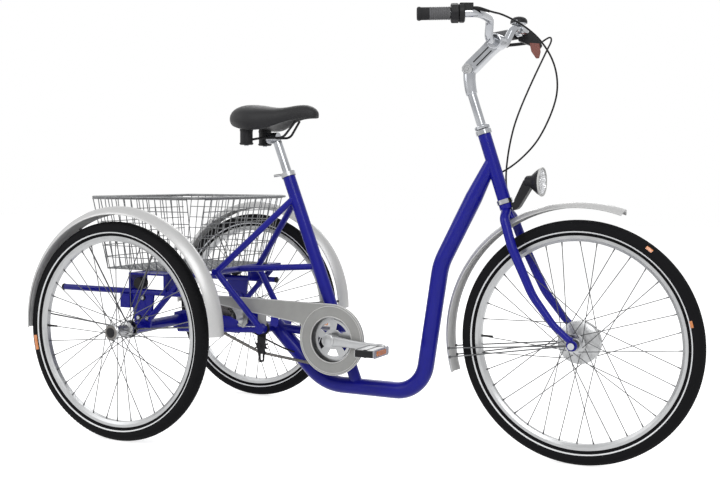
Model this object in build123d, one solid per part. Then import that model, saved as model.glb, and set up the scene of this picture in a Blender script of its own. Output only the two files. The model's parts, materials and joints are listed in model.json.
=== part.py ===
from build123d import *
from math import cos, pi, radians, sin
import os

# City tricycle for an adult: one steered front wheel, two rear wheels on a driven axle,
# a low step-through frame, a wire basket between the rear wheels and a gear hub ahead of the axle.
# Millimetres. X points forward, Y to the rider's left, Z up. While drawing, x = 0 is at the rear axle.
# Each sub-part is moved at saving so that the origin lies on the ground under the middle of the whole.

# Driving dimensions: wheels
WHEELBASE = 1247.0
TRACK = 734.0
FRONT_RADIUS = 326.5
REAR_RADIUS = 317.0
TYRE_WIDTH = 41.0
TYRE_HEIGHT = 41.0
RIM_WIDTH = 25.0
RIM_DEPTH = 15.5
SPOKES = 36
SPOKE_SIDE = 2.0
SPOKE_TURN = 58.0
FIT = 0.3
SHAFT_FIT = 0.1

# Driving dimensions: steering
HEAD_X = 1037.0
HEAD_Z = 703.0
HEAD_LENGTH = 186.6
HEAD_LEAN = 18.43
HEAD_DIAMETER = 36.0
STEERER_DIAMETER = 26.0
CUP_DIAMETER = 44.0
CUP_HEIGHT = 12.0
QUILL_DIAMETER = 22.0
QUILL_RISE = 128.0
STEM_PIVOT_X = 933.0
STEM_PIVOT_Z = 1059.0
CLAMP_X = 1011.0
CLAMP_Z = 1129.0
BAR_DIAMETER = 22.2
BAR_TIP_X = 896.0
BAR_TIP_Y = 262.0
BAR_CORNER_X = 1031.0
BAR_CORNER_Y = 195.0
BAR_RISE = 49.0
GRIP_DIAMETER = 33.0
FORK_HALF_WIDTH = 60.0
BLADE_TOP = 26.0
BLADE_TIP = 17.0

# Driving dimensions: frame
MAIN_DIAMETER = 48.0
SEAT_DIAMETER = 38.0
POST_DIAMETER = 27.0
CRANK_X = 537.0
CRANK_Z = 291.0
SEAT_TOP_X = 356.0
SEAT_TOP_Z = 763.0
POST_TOP_Z = 868.0
STAY_DIAMETER = 19.0
LUG_X = 300.0
LUG_Z = 308.0
LUG_DIAMETER = 32.0
LUG_HALF = 82.0
BRIDGE_X = 171.0
BRIDGE_Z = 477.0
BRIDGE_HALF = 116.0
PLATE_Y = 70.0
PLATE_THICKNESS = 5.0
BEAM_DIAMETER = 34.0
AXLE_DIAMETER = 17.0
CARRIER_Y = 252.0
RAIL_Z = 421.0
RAIL_DIAMETER = 18.0

# Driving dimensions: drive
CHAIN_Y = -48.0
CHAIN_PITCH = 12.7
RING_TEETH = 42
HUB_TEETH = 19
AXLE_TEETH = 18
AXLE_CHAIN_Y = 34.0
HUB_X = 147.0
HUB_Z = 324.0
HUB_HALF = 39.5
PULLEY_X = 287.0
PULLEY_Z = 252.0
PULLEY_TEETH = 10
CRANK_LENGTH = 170.0
CRANK_DROP = 3.4
CRANK_Y = 79.0
PEDAL_LENGTH = 96.0
PEDAL_WIDTH = 62.0
PEDAL_HEIGHT = 25.0
GUARD_RADIUS = 103.0
GUARD_OPENING = 66.0
GUARD_Y = -66.0
GUARD_DEPTH = 12.0
SHEET = 2.5

# Driving dimensions: mudguards, basket and saddle
REAR_GUARD_RADIUS = 360.0
REAR_GUARD_AHEAD = 20.0
REAR_GUARD_ABOVE = 18.0
FRONT_GUARD_RADIUS = 375.0
GUARD_WIDTH = 62.0
FRONT_GUARD_WIDTH = 56.0
GUARD_CROWN = 14.0
GUARD_SHEET = 1.5
BASKET_Z = 478.0
BASKET_TOP_Z = 700.0
BASKET_BACK = -175.0
BASKET_FRONT = 150.0
BASKET_HALF = 200.0
BASKET_TOP_BACK = -200.0
BASKET_TOP_FRONT = 200.0
BASKET_TOP_HALF = 250.0
BASKET_CORNER = 12.0
BASKET_BEND = 26.0
WIRE = 3.0
RIM_WIRE = 8.0
SADDLE_BACK = 188.0
SADDLE_LENGTH = 264.0
SADDLE_WIDTH = 206.0
SADDLE_TOP = 983.0

# Sizes that follow
WHEEL_Y = TRACK / 2
BAR_CLAMP = Vector(CLAMP_X, 0, CLAMP_Z)
HEAD_UP = Vector(-sin(radians(HEAD_LEAN)), 0, cos(radians(HEAD_LEAN)))
HEAD_LOW = Vector(HEAD_X, 0, HEAD_Z)
HEAD_TOP = HEAD_LOW + HEAD_UP * HEAD_LENGTH
FRONT_HUB = Vector(WHEELBASE, 0, FRONT_RADIUS)
REAR_HUB = Vector(0, 0, REAR_RADIUS)
CRANK_AXLE = Vector(CRANK_X, 0, CRANK_Z)
GEAR_HUB = Vector(HUB_X, 0, HUB_Z)
PULLEY = Vector(PULLEY_X, 0, PULLEY_Z)
SEAT_TOP = Vector(SEAT_TOP_X, 0, SEAT_TOP_Z)
SEAT_UP = (SEAT_TOP - CRANK_AXLE).normalized()
LUG = Vector(LUG_X, 0, LUG_Z)
BELL_RUN = Vector(CLAMP_X + 14, 94.0, CLAMP_Z + BAR_RISE)
GRIP_ROOT = Vector(BAR_CORNER_X, BAR_CORNER_Y, CLAMP_Z + BAR_RISE + 1)
GRIP_TIP = Vector(BAR_TIP_X, BAR_TIP_Y, CLAMP_Z + BAR_RISE - 2)
GRIP_LINE = (GRIP_TIP - GRIP_ROOT).normalized()
BACK_REACH = REAR_GUARD_AHEAD - REAR_GUARD_RADIUS
FRONT_REACH = WHEELBASE + FRONT_RADIUS
MIDDLE_X = (BACK_REACH + FRONT_REACH) / 2
SIDES = {"left": 1, "right": -1}
# Turning about this axis by a positive angle lifts the front
PITCH_AXIS = Axis((0, 0, 0), (0, -1, 0))
ACROSS = Vector(0, 1, 0)


def save(name, shape):
    """Move a sub-part to the shared origin and write it."""
    export_step(Pos(-MIDDLE_X, 0, 0) * shape, f"parts/{name}.step")


def rod(start, end, radius):
    """Straight round bar."""
    start, end = Vector(start), Vector(end)
    return extrude(Plane(origin=start, z_dir=end - start) * Circle(radius), (end - start).length)


def cross_rod(centre, radius, low_y, high_y):
    """Round bar that lies across the tricycle."""
    middle = Vector(centre)
    return rod((middle.X, low_y, middle.Z), (middle.X, high_y, middle.Z), radius)


def cone(start, end, start_radius, end_radius):
    """Straight bar with a round section that tapers."""
    start, end = Vector(start), Vector(end)
    sections = [Plane(origin=at, z_dir=end - start) * Circle(radius)
                for at, radius in ((start, start_radius), (end, end_radius))]
    return loft(sections)


def bent_bar(points, bends, radius):
    """Round bar along straight runs joined by arcs, one bend radius for each corner."""
    path = FilletPolyline(*points, radius=bends)
    return sweep(Plane(origin=path @ 0, z_dir=path % 0) * Circle(radius), path=path)


def side_plate(outline, y, thickness):
    """Flat plate seen from the side, from points of x and z, centred on y."""
    plane = Plane(origin=(0, y + thickness / 2, 0), x_dir=(1, 0, 0), z_dir=(0, -1, 0))
    return extrude(plane * make_face(Polyline(*outline, close=True)), thickness)


def ring(profile, y=0.0):
    """Full turn about the cross axis of a profile given as radius and y."""
    face = make_face(Polyline(*[(radius, y + across) for radius, across in profile], close=True))
    return revolve(face, Axis.Y)


def pitch_radius(teeth):
    return CHAIN_PITCH / (2 * sin(pi / teeth))


def toothed_wheel(teeth, y, thickness, bore):
    """Sprocket about the cross axis through the origin."""
    tip = pitch_radius(teeth) + 3.6
    root = pitch_radius(teeth) - 4.2
    outline = []
    for tooth in range(teeth):
        for share, radius in ((0.0, root), (0.22, root), (0.42, tip), (0.58, tip), (0.78, root)):
            angle = 2 * pi * (tooth + share) / teeth
            outline.append((radius * cos(angle), radius * sin(angle)))
    wheel = side_plate(outline, y, thickness)
    return wheel - cross_rod((0, 0, 0), bore, y - thickness, y + thickness)


def chain_loop(wheels, y, link_spacing, clear_run):
    """Two side plates that wrap the wheels, joined by pins on the straight runs clear of the teeth."""
    plane = Plane(origin=(0, y, 0), x_dir=(1, 0, 0), z_dir=(0, -1, 0))
    half_height = 4.0
    plate_gap = 4.6
    plate = 1.5
    bands = []
    for grow in (half_height, -half_height):
        circles = [Pos(x, z) * Circle(radius + grow) for x, z, radius in wheels]
        bands.append(make_hull([edge for circle in circles for edge in circle.edges()]))
    band = plane * (bands[0] - bands[1])
    middle = plane * make_hull([edge for x, z, radius in wheels
                                for edge in (Pos(x, z) * Circle(radius)).edges()])
    side = extrude(band, plate)
    loop = [Pos(0, offset, 0) * side for offset in (-plate_gap / 2, plate_gap / 2 + plate)]
    for edge in middle.edges():
        if edge.geom_type == GeomType.LINE:
            count = int((edge.length - 2 * clear_run) / link_spacing)
            first = (edge.length - count * link_spacing) / 2
            for step in range(count + 1):
                spot = edge @ ((first + step * link_spacing) / edge.length)
                loop.append(Pos(spot.X, y, spot.Z) * Box(4.4, plate_gap + plate, 4.4))
    return loop[0] + loop[1:]


def mudguard(radius, width, start, sweep_angle):
    """Crowned strip about the cross axis, from its start angle above the front horizontal."""
    half = width / 2
    outer = ThreePointArc((radius - GUARD_CROWN, -half), (radius, 0), (radius - GUARD_CROWN, half))
    inner = ThreePointArc((radius - GUARD_CROWN - GUARD_SHEET, half), (radius - GUARD_SHEET, 0),
                          (radius - GUARD_CROWN - GUARD_SHEET, -half))
    joins = [Line(outer @ 1, inner @ 0), Line(inner @ 1, outer @ 0)]
    strip = revolve(make_face([outer, inner, *joins]), PITCH_AXIS, revolution_arc=sweep_angle)
    return strip.rotate(PITCH_AXIS, start)


def tyre(radius):
    """Solid casing with a round crown, seated between the rim's flanges."""
    half = TYRE_WIDTH / 2
    bead = RIM_WIDTH / 2 - 2.2
    shoulder = radius - half
    seat = radius - TYRE_HEIGHT
    crown = ThreePointArc((shoulder, -half), (radius, 0), (shoulder, half))
    side = Polyline((shoulder, half), (seat + 1.0, bead), (seat - 5.8, bead), (seat - 5.8, -bead),
                    (seat + 1.0, -bead), (shoulder, -half))
    return revolve(make_face([crown, *side.edges()]), Axis.Y)


def rim(radius):
    """Box rim with two hooked flanges."""
    half = RIM_WIDTH / 2
    flange = radius - TYRE_HEIGHT
    bed = flange - 6.1
    inner = flange - RIM_DEPTH
    lip = 1.9
    return ring([(flange, -half), (flange, lip - half), (bed, lip - half), (bed, half - lip),
                 (flange, half - lip), (flange, half), (flange - 8, half), (inner, half - 5.5),
                 (inner, 5.5 - half), (flange - 8, -half)])


def laced_hub(radius, body, flanges, bore):
    """Hub with crossed spokes; flanges are (y, hole radius) and body is radius and y points."""
    rim_inner = radius - TYRE_HEIGHT - RIM_DEPTH - FIT
    spokes = []
    for number in range(SPOKES):
        flange_y, hole = flanges[number % 2]
        lean = 1 if (number // 2) % 2 else -1
        outward = 1 if flange_y > flanges[1 - number % 2][0] else -1
        rim_angle = radians(360 * number / SPOKES)
        hub_angle = rim_angle + lean * radians(SPOKE_TURN)
        shift = lean * 2.4
        start = Vector(hole * cos(hub_angle), flange_y + shift, hole * sin(hub_angle))
        end = Vector(rim_inner * cos(rim_angle), outward * 3.0 + shift * 0.8, rim_inner * sin(rim_angle))
        line = Plane(origin=start, z_dir=end - start)
        spokes.append(extrude(line * Rectangle(SPOKE_SIDE, SPOKE_SIDE), (end - start).length))
    hub = ring(body) + spokes
    ends = [y for hub_radius, y in body]
    return hub - cross_rod((0, 0, 0), bore, min(ends) - 1, max(ends) + 1)


def wire_panel(corners, columns, rows):
    """Flat grid of wires between four corners: low start, low end, top end, top start."""
    low_a, low_b, top_b, top_a = [Vector(corner) for corner in corners]
    plane = Plane(origin=low_a, x_dir=low_b - low_a, z_dir=(low_b - low_a).cross(top_a - low_a))
    flat = [plane.to_local_coords(corner) for corner in (low_a, low_b, top_b, top_a)]

    def at(u, v):
        low = flat[0] * (1 - u) + flat[1] * u
        top = flat[3] * (1 - u) + flat[2] * u
        return low * (1 - v) + top * v

    width = (flat[1] - flat[0]).length
    height = (flat[3] - flat[0]).length
    half_u = WIRE / 2 / width
    half_v = WIRE / 2 / height
    cells = []
    for column in range(columns):
        for row in range(rows):
            u_low, u_high = column / columns + half_u, (column + 1) / columns - half_u
            v_low, v_high = row / rows + half_v, (row + 1) / rows - half_v
            cell = [at(u_low, v_low), at(u_high, v_low), at(u_high, v_high), at(u_low, v_high)]
            cells.append(make_face(Polyline(*cell, close=True)))
    grid = make_face(Polyline(*flat, close=True)) - cells
    return extrude(plane * grid, WIRE)


def main_tube():
    """Big low tube from the rear lug down, forward and up to the head, tapered at its top."""
    # x, z and bend radius at each corner
    corners = ((480.0, 148.0, 150.0), (797.0, 149.0, 95.0), (853.0, 520.0, 170.0))
    last_bend = Vector(853.0, 0, 520.0)
    joint = HEAD_LOW + HEAD_UP * 0.6 * HEAD_LENGTH
    neck = last_bend + (joint - last_bend) * 0.65
    points = [(LUG_X + 8, 0, LUG_Z + 6)] + [(x, 0, z) for x, z, bend in corners] + [neck]
    low = bent_bar(points, [bend for x, z, bend in corners], MAIN_DIAMETER / 2)
    return low + cone(neck, joint, MAIN_DIAMETER / 2, HEAD_DIAMETER / 2 - 1)


def fork():
    """Two curved tapered blades that join under the head on a long steerer."""
    # x, distance from the middle, z and bend radius of the blade's centre line
    course = ((1045.0, 5.0, 675.0, 0), (1052.0, 40.0, 652.0, 22.0), (1078.0, 52.0, 578.0, 160.0),
              (1138.0, 57.0, 452.0, 190.0), (1196.0, FORK_HALF_WIDTH, 378.0, 90.0),
              (WHEELBASE - 5, FORK_HALF_WIDTH, FRONT_RADIUS + 12, 0))
    shape = rod(HEAD_LOW - HEAD_UP * 26, HEAD_LOW - HEAD_UP * (CUP_HEIGHT + FIT), 19.0)
    shape += rod(HEAD_LOW - HEAD_UP * 20, HEAD_TOP + HEAD_UP * 12, STEERER_DIAMETER / 2)
    for side in SIDES.values():
        points = [(x, side * y, z) for x, y, z, bend in course]
        path = FilletPolyline(*points, radius=[bend for x, y, z, bend in course[1:-1]])
        ends = [Plane(origin=path @ share, z_dir=path % share) * Circle(size / 2)
                for share, size in ((0, BLADE_TOP), (0.5, BLADE_TOP - 2), (1, BLADE_TIP))]
        shape += sweep(ends, path=path, multisection=True)
        eye = FRONT_HUB + ACROSS * side * FORK_HALF_WIDTH
        tab = cross_rod(eye, 14.0, eye.Y - 3, eye.Y + 3)
        shape += tab + Pos(eye.X - 6, eye.Y, eye.Z + 12) * Box(16, 6, 20)
    crown = HEAD_LOW - HEAD_UP * 20
    shape += rod(FRONT_HUB + (crown - FRONT_HUB).normalized() * (FRONT_GUARD_RADIUS + FIT), crown, 8.0)
    axle_way = cross_rod(FRONT_HUB, 5.0 + SHAFT_FIT, -80, 80)
    return shape - axle_way


def handlebar():
    """Swept-back bar that rises from the clamp."""
    # x, distance from the middle, z and bend radius
    course = ((CLAMP_X, 66.0, CLAMP_Z, 26.0), (BELL_RUN.X, BELL_RUN.Y, BELL_RUN.Z, 26.0),
              (GRIP_ROOT.X, GRIP_ROOT.Y, GRIP_ROOT.Z, 30.0))
    half = [(x, y, z) for x, y, z, bend in course] + [tuple(GRIP_TIP)]
    points = [(x, -y, z) for x, y, z in reversed(half)] + half
    bends = [bend for x, y, z, bend in course]
    return bent_bar(points, bends[::-1] + bends, BAR_DIAMETER / 2)


def on_grip(side, from_tip):
    """Point on the bar's straight end, measured back from its tip."""
    point = GRIP_TIP - GRIP_LINE * from_tip
    return Vector(point.X, side * point.Y, point.Z)


def sleeve(side, near, far, radius, bore):
    """Tube on the bar's straight end between two distances from its tip."""
    return rod(on_grip(side, near), on_grip(side, far), radius) \
        - rod(on_grip(side, near - 20), on_grip(side, far + 20), bore)


def make_frame():
    """Welded tubes, each cut back to the ones it meets."""
    head_bar = rod(HEAD_LOW, HEAD_TOP, HEAD_DIAMETER / 2)
    head_bore = rod(HEAD_LOW - HEAD_UP * 5, HEAD_TOP + HEAD_UP * 5, STEERER_DIAMETER / 2 + 1.2)
    save("head_tube", head_bar - head_bore)
    cup = []
    for base, way in ((HEAD_LOW, -1), (HEAD_TOP, 1)):
        cup.append(rod(base, base + HEAD_UP * way * CUP_HEIGHT, CUP_DIAMETER / 2) - head_bore
                   - rod(base, base + HEAD_UP * way * (CUP_HEIGHT + 1), STEERER_DIAMETER / 2 + 1.2))
    save("headset_cups", Compound(children=cup))

    lug = cross_rod(LUG, LUG_DIAMETER / 2, -LUG_HALF, LUG_HALF)
    big_tube = main_tube() - lug - head_bar
    save("main_tube", big_tube)
    shell_bar = cross_rod(CRANK_AXLE, 21.0, -35, 35)
    spindle_way = cross_rod(CRANK_AXLE, 12.0, -40, 40)
    strut = rod(CRANK_AXLE, CRANK_AXLE - SEAT_UP * 160, 17.5)
    save("bottom_bracket", (shell_bar + strut) - spindle_way - big_tube)
    post_way = rod(SEAT_TOP - SEAT_UP * 90, SEAT_TOP + SEAT_UP * 5, POST_DIAMETER / 2 + FIT)
    seat_bar = rod(CRANK_AXLE, SEAT_TOP, SEAT_DIAMETER / 2)
    save("seat_tube", seat_bar - shell_bar - post_way)

    stay = rod(CRANK_AXLE, LUG, 12.5)
    save("rear_lug", (lug + stay) - shell_bar - big_tube - seat_bar)

    bridge = cross_rod((BRIDGE_X, 0, BRIDGE_Z), STAY_DIAMETER / 2, -BRIDGE_HALF - 12, BRIDGE_HALF + 12)
    seat_joint = SEAT_TOP - SEAT_UP * 285
    high_joint = SEAT_TOP - SEAT_UP * 66
    middle_stay = rod((BRIDGE_X, 0, BRIDGE_Z), seat_joint, STAY_DIAMETER / 2)
    cross_bar = (bridge + middle_stay) - seat_bar
    save("stay_bridge", cross_bar)
    stays = []
    for side in SIDES.values():
        corner = Vector(BRIDGE_X, side * BRIDGE_HALF, BRIDGE_Z)
        high = rod(corner, high_joint + ACROSS * side * 8, STAY_DIAMETER / 2)
        low = rod(corner, LUG + ACROSS * side * 72, STAY_DIAMETER / 2)
        half_space = Pos(300, side * 500, 500) * Box(2000, 1000, 2000)
        stays.append(((high + low) - cross_bar - seat_bar - lug) & half_space)
    save("rear_stays", Compound(children=stays))


def make_rear_axle():
    """Two half beams with drive plates, lower stays, and the carriers for the basket."""
    halves = []
    for side in SIDES.values():
        inner = side * (PLATE_Y - PLATE_THICKNESS / 2)
        outer = side * (WHEEL_Y - 49)
        beam = cross_rod(REAR_HUB, BEAM_DIAMETER / 2, min(inner, outer), max(inner, outer))
        outline = ((-24, REAR_RADIUS - 26), (HUB_X + 74, REAR_RADIUS - 28), (HUB_X + 70, HUB_Z + 2),
                   (HUB_X + 40, HUB_Z + 14), (HUB_X - 45, HUB_Z + 18), (10, REAR_RADIUS + 30),
                   (-20, REAR_RADIUS + 22))
        plate = side_plate(outline, side * PLATE_Y, PLATE_THICKNESS)
        stay = rod((-4, side * PLATE_Y, REAR_RADIUS - 30), (LUG_X, side * PLATE_Y, LUG_Z - 4), 9.0)
        half = beam + plate + stay - cross_rod(LUG, LUG_DIAMETER / 2, -LUG_HALF, LUG_HALF)
        half -= cross_rod(REAR_HUB, AXLE_DIAMETER / 2 + SHAFT_FIT, -500, 500)
        half -= cross_rod(GEAR_HUB, 5.0 + SHAFT_FIT, -200, 200)
        half -= Pos(LUG_X + 200, 0, LUG_Z) * Box(400, 400, 400)
        halves.append(half)
    save("axle_beam", Compound(children=halves))

    for name, side in SIDES.items():
        y = side * CARRIER_Y
        beam_clear = cross_rod(REAR_HUB, BEAM_DIAMETER / 2, -500, 500)
        shape = rod((-300, y, RAIL_Z), (152, y, RAIL_Z), RAIL_DIAMETER / 2)
        legs = ((-26, REAR_RADIUS - 2), (30, REAR_RADIUS - 2), (44, RAIL_Z + 2), (-40, RAIL_Z + 2))
        shape += side_plate(legs, y, 8.0)
        cradle_outer = ((-42, RAIL_Z), (94, RAIL_Z), (94, BASKET_Z - FIT), (-42, BASKET_Z - FIT))
        cradle_inner = ((-34, RAIL_Z - 1), (86, RAIL_Z - 1), (86, BASKET_Z - 6), (-34, BASKET_Z - 6))
        shape += side_plate(cradle_outer, y - side * 28, 78.0) - side_plate(cradle_inner, y - side * 28, 90.0)
        shape += rod((24, y, REAR_RADIUS + 22), (146, y, BASKET_Z - 12), 9.0)
        shape += Pos(146, y - side * 28, BASKET_Z - FIT - 5) * Box(40, 78, 10)
        if side < 0:
            shape += Pos(-56, y, RAIL_Z - 28) * Box(34, 26, 42)
        save(f"carrier_{name}", shape - beam_clear)


def make_rear_fenders():
    """Half-round mudguards, each on rods from the end of the beam."""
    centre = REAR_HUB + Vector(REAR_GUARD_AHEAD, 0, REAR_GUARD_ABOVE)
    for name, side in SIDES.items():
        shape = Pos(centre.X, side * WHEEL_Y, centre.Z) * mudguard(REAR_GUARD_RADIUS, GUARD_WIDTH, -4, 188)
        root_y = side * (WHEEL_Y - 56)
        edge_y = side * (WHEEL_Y - GUARD_WIDTH / 2 + 1)
        collar = cross_rod(REAR_HUB, BEAM_DIAMETER / 2 + 9, root_y - 3, root_y + 3)
        shape += collar - cross_rod(REAR_HUB, BEAM_DIAMETER / 2 + FIT / 3, root_y - 5, root_y + 5)
        for angle in (4, 68, 122, 176):
            way = Vector(cos(radians(angle)), 0, sin(radians(angle)))
            reach = centre + way * (REAR_GUARD_RADIUS - GUARD_CROWN - 4)
            root = REAR_HUB + way * (BEAM_DIAMETER / 2 + 5)
            end = Vector(reach.X, edge_y, reach.Z)
            shape += rod((root.X, root_y, root.Z), end, 2.5)
            shape += rod(end - way * 2, end + way * 5, 2.5)
        save(f"rear_fender_{name}", shape)


def make_basket():
    """Tapered wire basket: rim, floor, two ends and two sides."""
    rim_z = BASKET_TOP_Z
    low, top = BASKET_HALF, BASKET_TOP_HALF
    gap = WIRE + FIT
    outline = Rectangle(BASKET_TOP_FRONT - BASKET_TOP_BACK, 2 * top)
    path = fillet(outline.vertices(), BASKET_BEND).edges()
    middle = Pos((BASKET_TOP_FRONT + BASKET_TOP_BACK) / 2, 0, rim_z)
    wire = Wire([middle * edge for edge in path])
    start = Plane(origin=wire @ 0, z_dir=wire % 0)
    save("basket_rim", sweep(start * Circle(RIM_WIRE / 2), path=wire))
    panel_top = rim_z - RIM_WIRE / 2 - FIT

    back, front = BASKET_BACK + gap, BASKET_FRONT - gap
    floor = wire_panel(((back, gap - low, BASKET_Z), (front, gap - low, BASKET_Z),
                        (front, low - gap, BASKET_Z), (back, low - gap, BASKET_Z)), 7, 8)
    save("basket_floor", floor)
    # The corners of each wall run so that its wires lie inside them, clear of the floor's edge
    ends = []
    for low_x, high_x, way in ((BASKET_BACK, BASKET_TOP_BACK, 1), (BASKET_FRONT, BASKET_TOP_FRONT, -1)):
        high_y = low + BASKET_CORNER
        corners = [(low_x, -way * low, BASKET_Z + gap), (low_x, way * low, BASKET_Z + gap),
                   (high_x, way * high_y, panel_top), (high_x, -way * high_y, panel_top)]
        ends.append(wire_panel(corners, 8, 5))
    save("basket_ends", Compound(children=ends))
    sides = []
    for side in SIDES.values():
        start, end = (back, front) if side > 0 else (front, back)
        flare = BASKET_CORNER * side
        corners = [(start, side * low, BASKET_Z + gap), (end, side * low, BASKET_Z + gap),
                   (end + flare, side * top, panel_top), (start - flare, side * top, panel_top)]
        sides.append(wire_panel(corners, 7, 5))
    save("basket_sides", Compound(children=sides))


def make_seat():
    """Seat post, clamp ring with a lever, saddle and its springs."""
    post_top = SEAT_TOP + SEAT_UP * ((POST_TOP_Z - SEAT_TOP_Z) / SEAT_UP.Z)
    post = rod(SEAT_TOP - SEAT_UP * 80, post_top, POST_DIAMETER / 2)
    saddle_clamp = Vector(post_top.X - 14, 0, POST_TOP_Z + 12)
    head = Pos(saddle_clamp.X, 0, saddle_clamp.Z) * Rot(0, 90, 0) * Cylinder(17.0, 34.0)
    save("seat_post", post + head)
    collar = rod(SEAT_TOP + SEAT_UP * 0.3, SEAT_TOP + SEAT_UP * 14, SEAT_DIAMETER / 2 + 3) \
        - rod(SEAT_TOP, SEAT_TOP + SEAT_UP * 20, POST_DIAMETER / 2 + FIT)
    lever = rod(SEAT_TOP + SEAT_UP * 7 + Vector(-20, 0, 0), SEAT_TOP + SEAT_UP * 7 + Vector(-46, -6, -4), 4.0)
    save("seat_clamp", collar + lever)

    # x behind the nose and half width of the saddle's plan, then x and height of its top line
    nose = SADDLE_BACK + SADDLE_LENGTH
    wide = SADDLE_WIDTH / 2
    plan = Polyline((nose, 0), (nose - 3, 16), (nose - 20, 24), (nose - 100, 31), (nose - 150, 52),
                    (nose - 195, wide - 10), (nose - 225, wide), (nose - 250, wide - 14),
                    (SADDLE_BACK, 40), (SADDLE_BACK, 0))
    half_plan = make_face([*plan.edges(), Line(plan @ 1, plan @ 0)])
    full_plan = half_plan + mirror(half_plan, Plane.XZ)
    block = extrude(Pos(0, 0, 880) * full_plan, 140)
    line = ((SADDLE_BACK - 5, 945), (SADDLE_BACK + 12, 972), (SADDLE_BACK + 55, SADDLE_TOP),
            (SADDLE_BACK + 100, SADDLE_TOP - 6), (SADDLE_BACK + 140, SADDLE_TOP - 12),
            (SADDLE_BACK + 180, SADDLE_TOP - 7), (SADDLE_BACK + 215, SADDLE_TOP - 2),
            (nose - 12, SADDLE_TOP - 12), (nose + 4, SADDLE_TOP - 40), (nose - 6, SADDLE_TOP - 52),
            (nose - 60, SADDLE_TOP - 50), (SADDLE_BACK + 120, SADDLE_TOP - 68),
            (SADDLE_BACK + 40, SADDLE_TOP - 72), (SADDLE_BACK - 5, SADDLE_TOP - 62))
    save("saddle", block & side_plate(line, 0, 260))

    under = SADDLE_TOP - 72
    springs = []
    for side in SIDES.values():
        barrel = rod((SADDLE_BACK + 50, side * 52, 862), (SADDLE_BACK + 50, side * 52, under - 1), 19.0)
        rail_y = side * (17.0 + 3.5 + SHAFT_FIT)
        rail = bent_bar([(SADDLE_BACK + 50, side * 52, 872), (saddle_clamp.X - 36, rail_y, saddle_clamp.Z),
                         (saddle_clamp.X + 46, rail_y, saddle_clamp.Z), (nose - 66, side * 12, under + 18)],
                        [30.0, 30.0], 3.5)
        springs.append(barrel + rail)
    save("saddle_frame", Compound(children=springs) - head)


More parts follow.
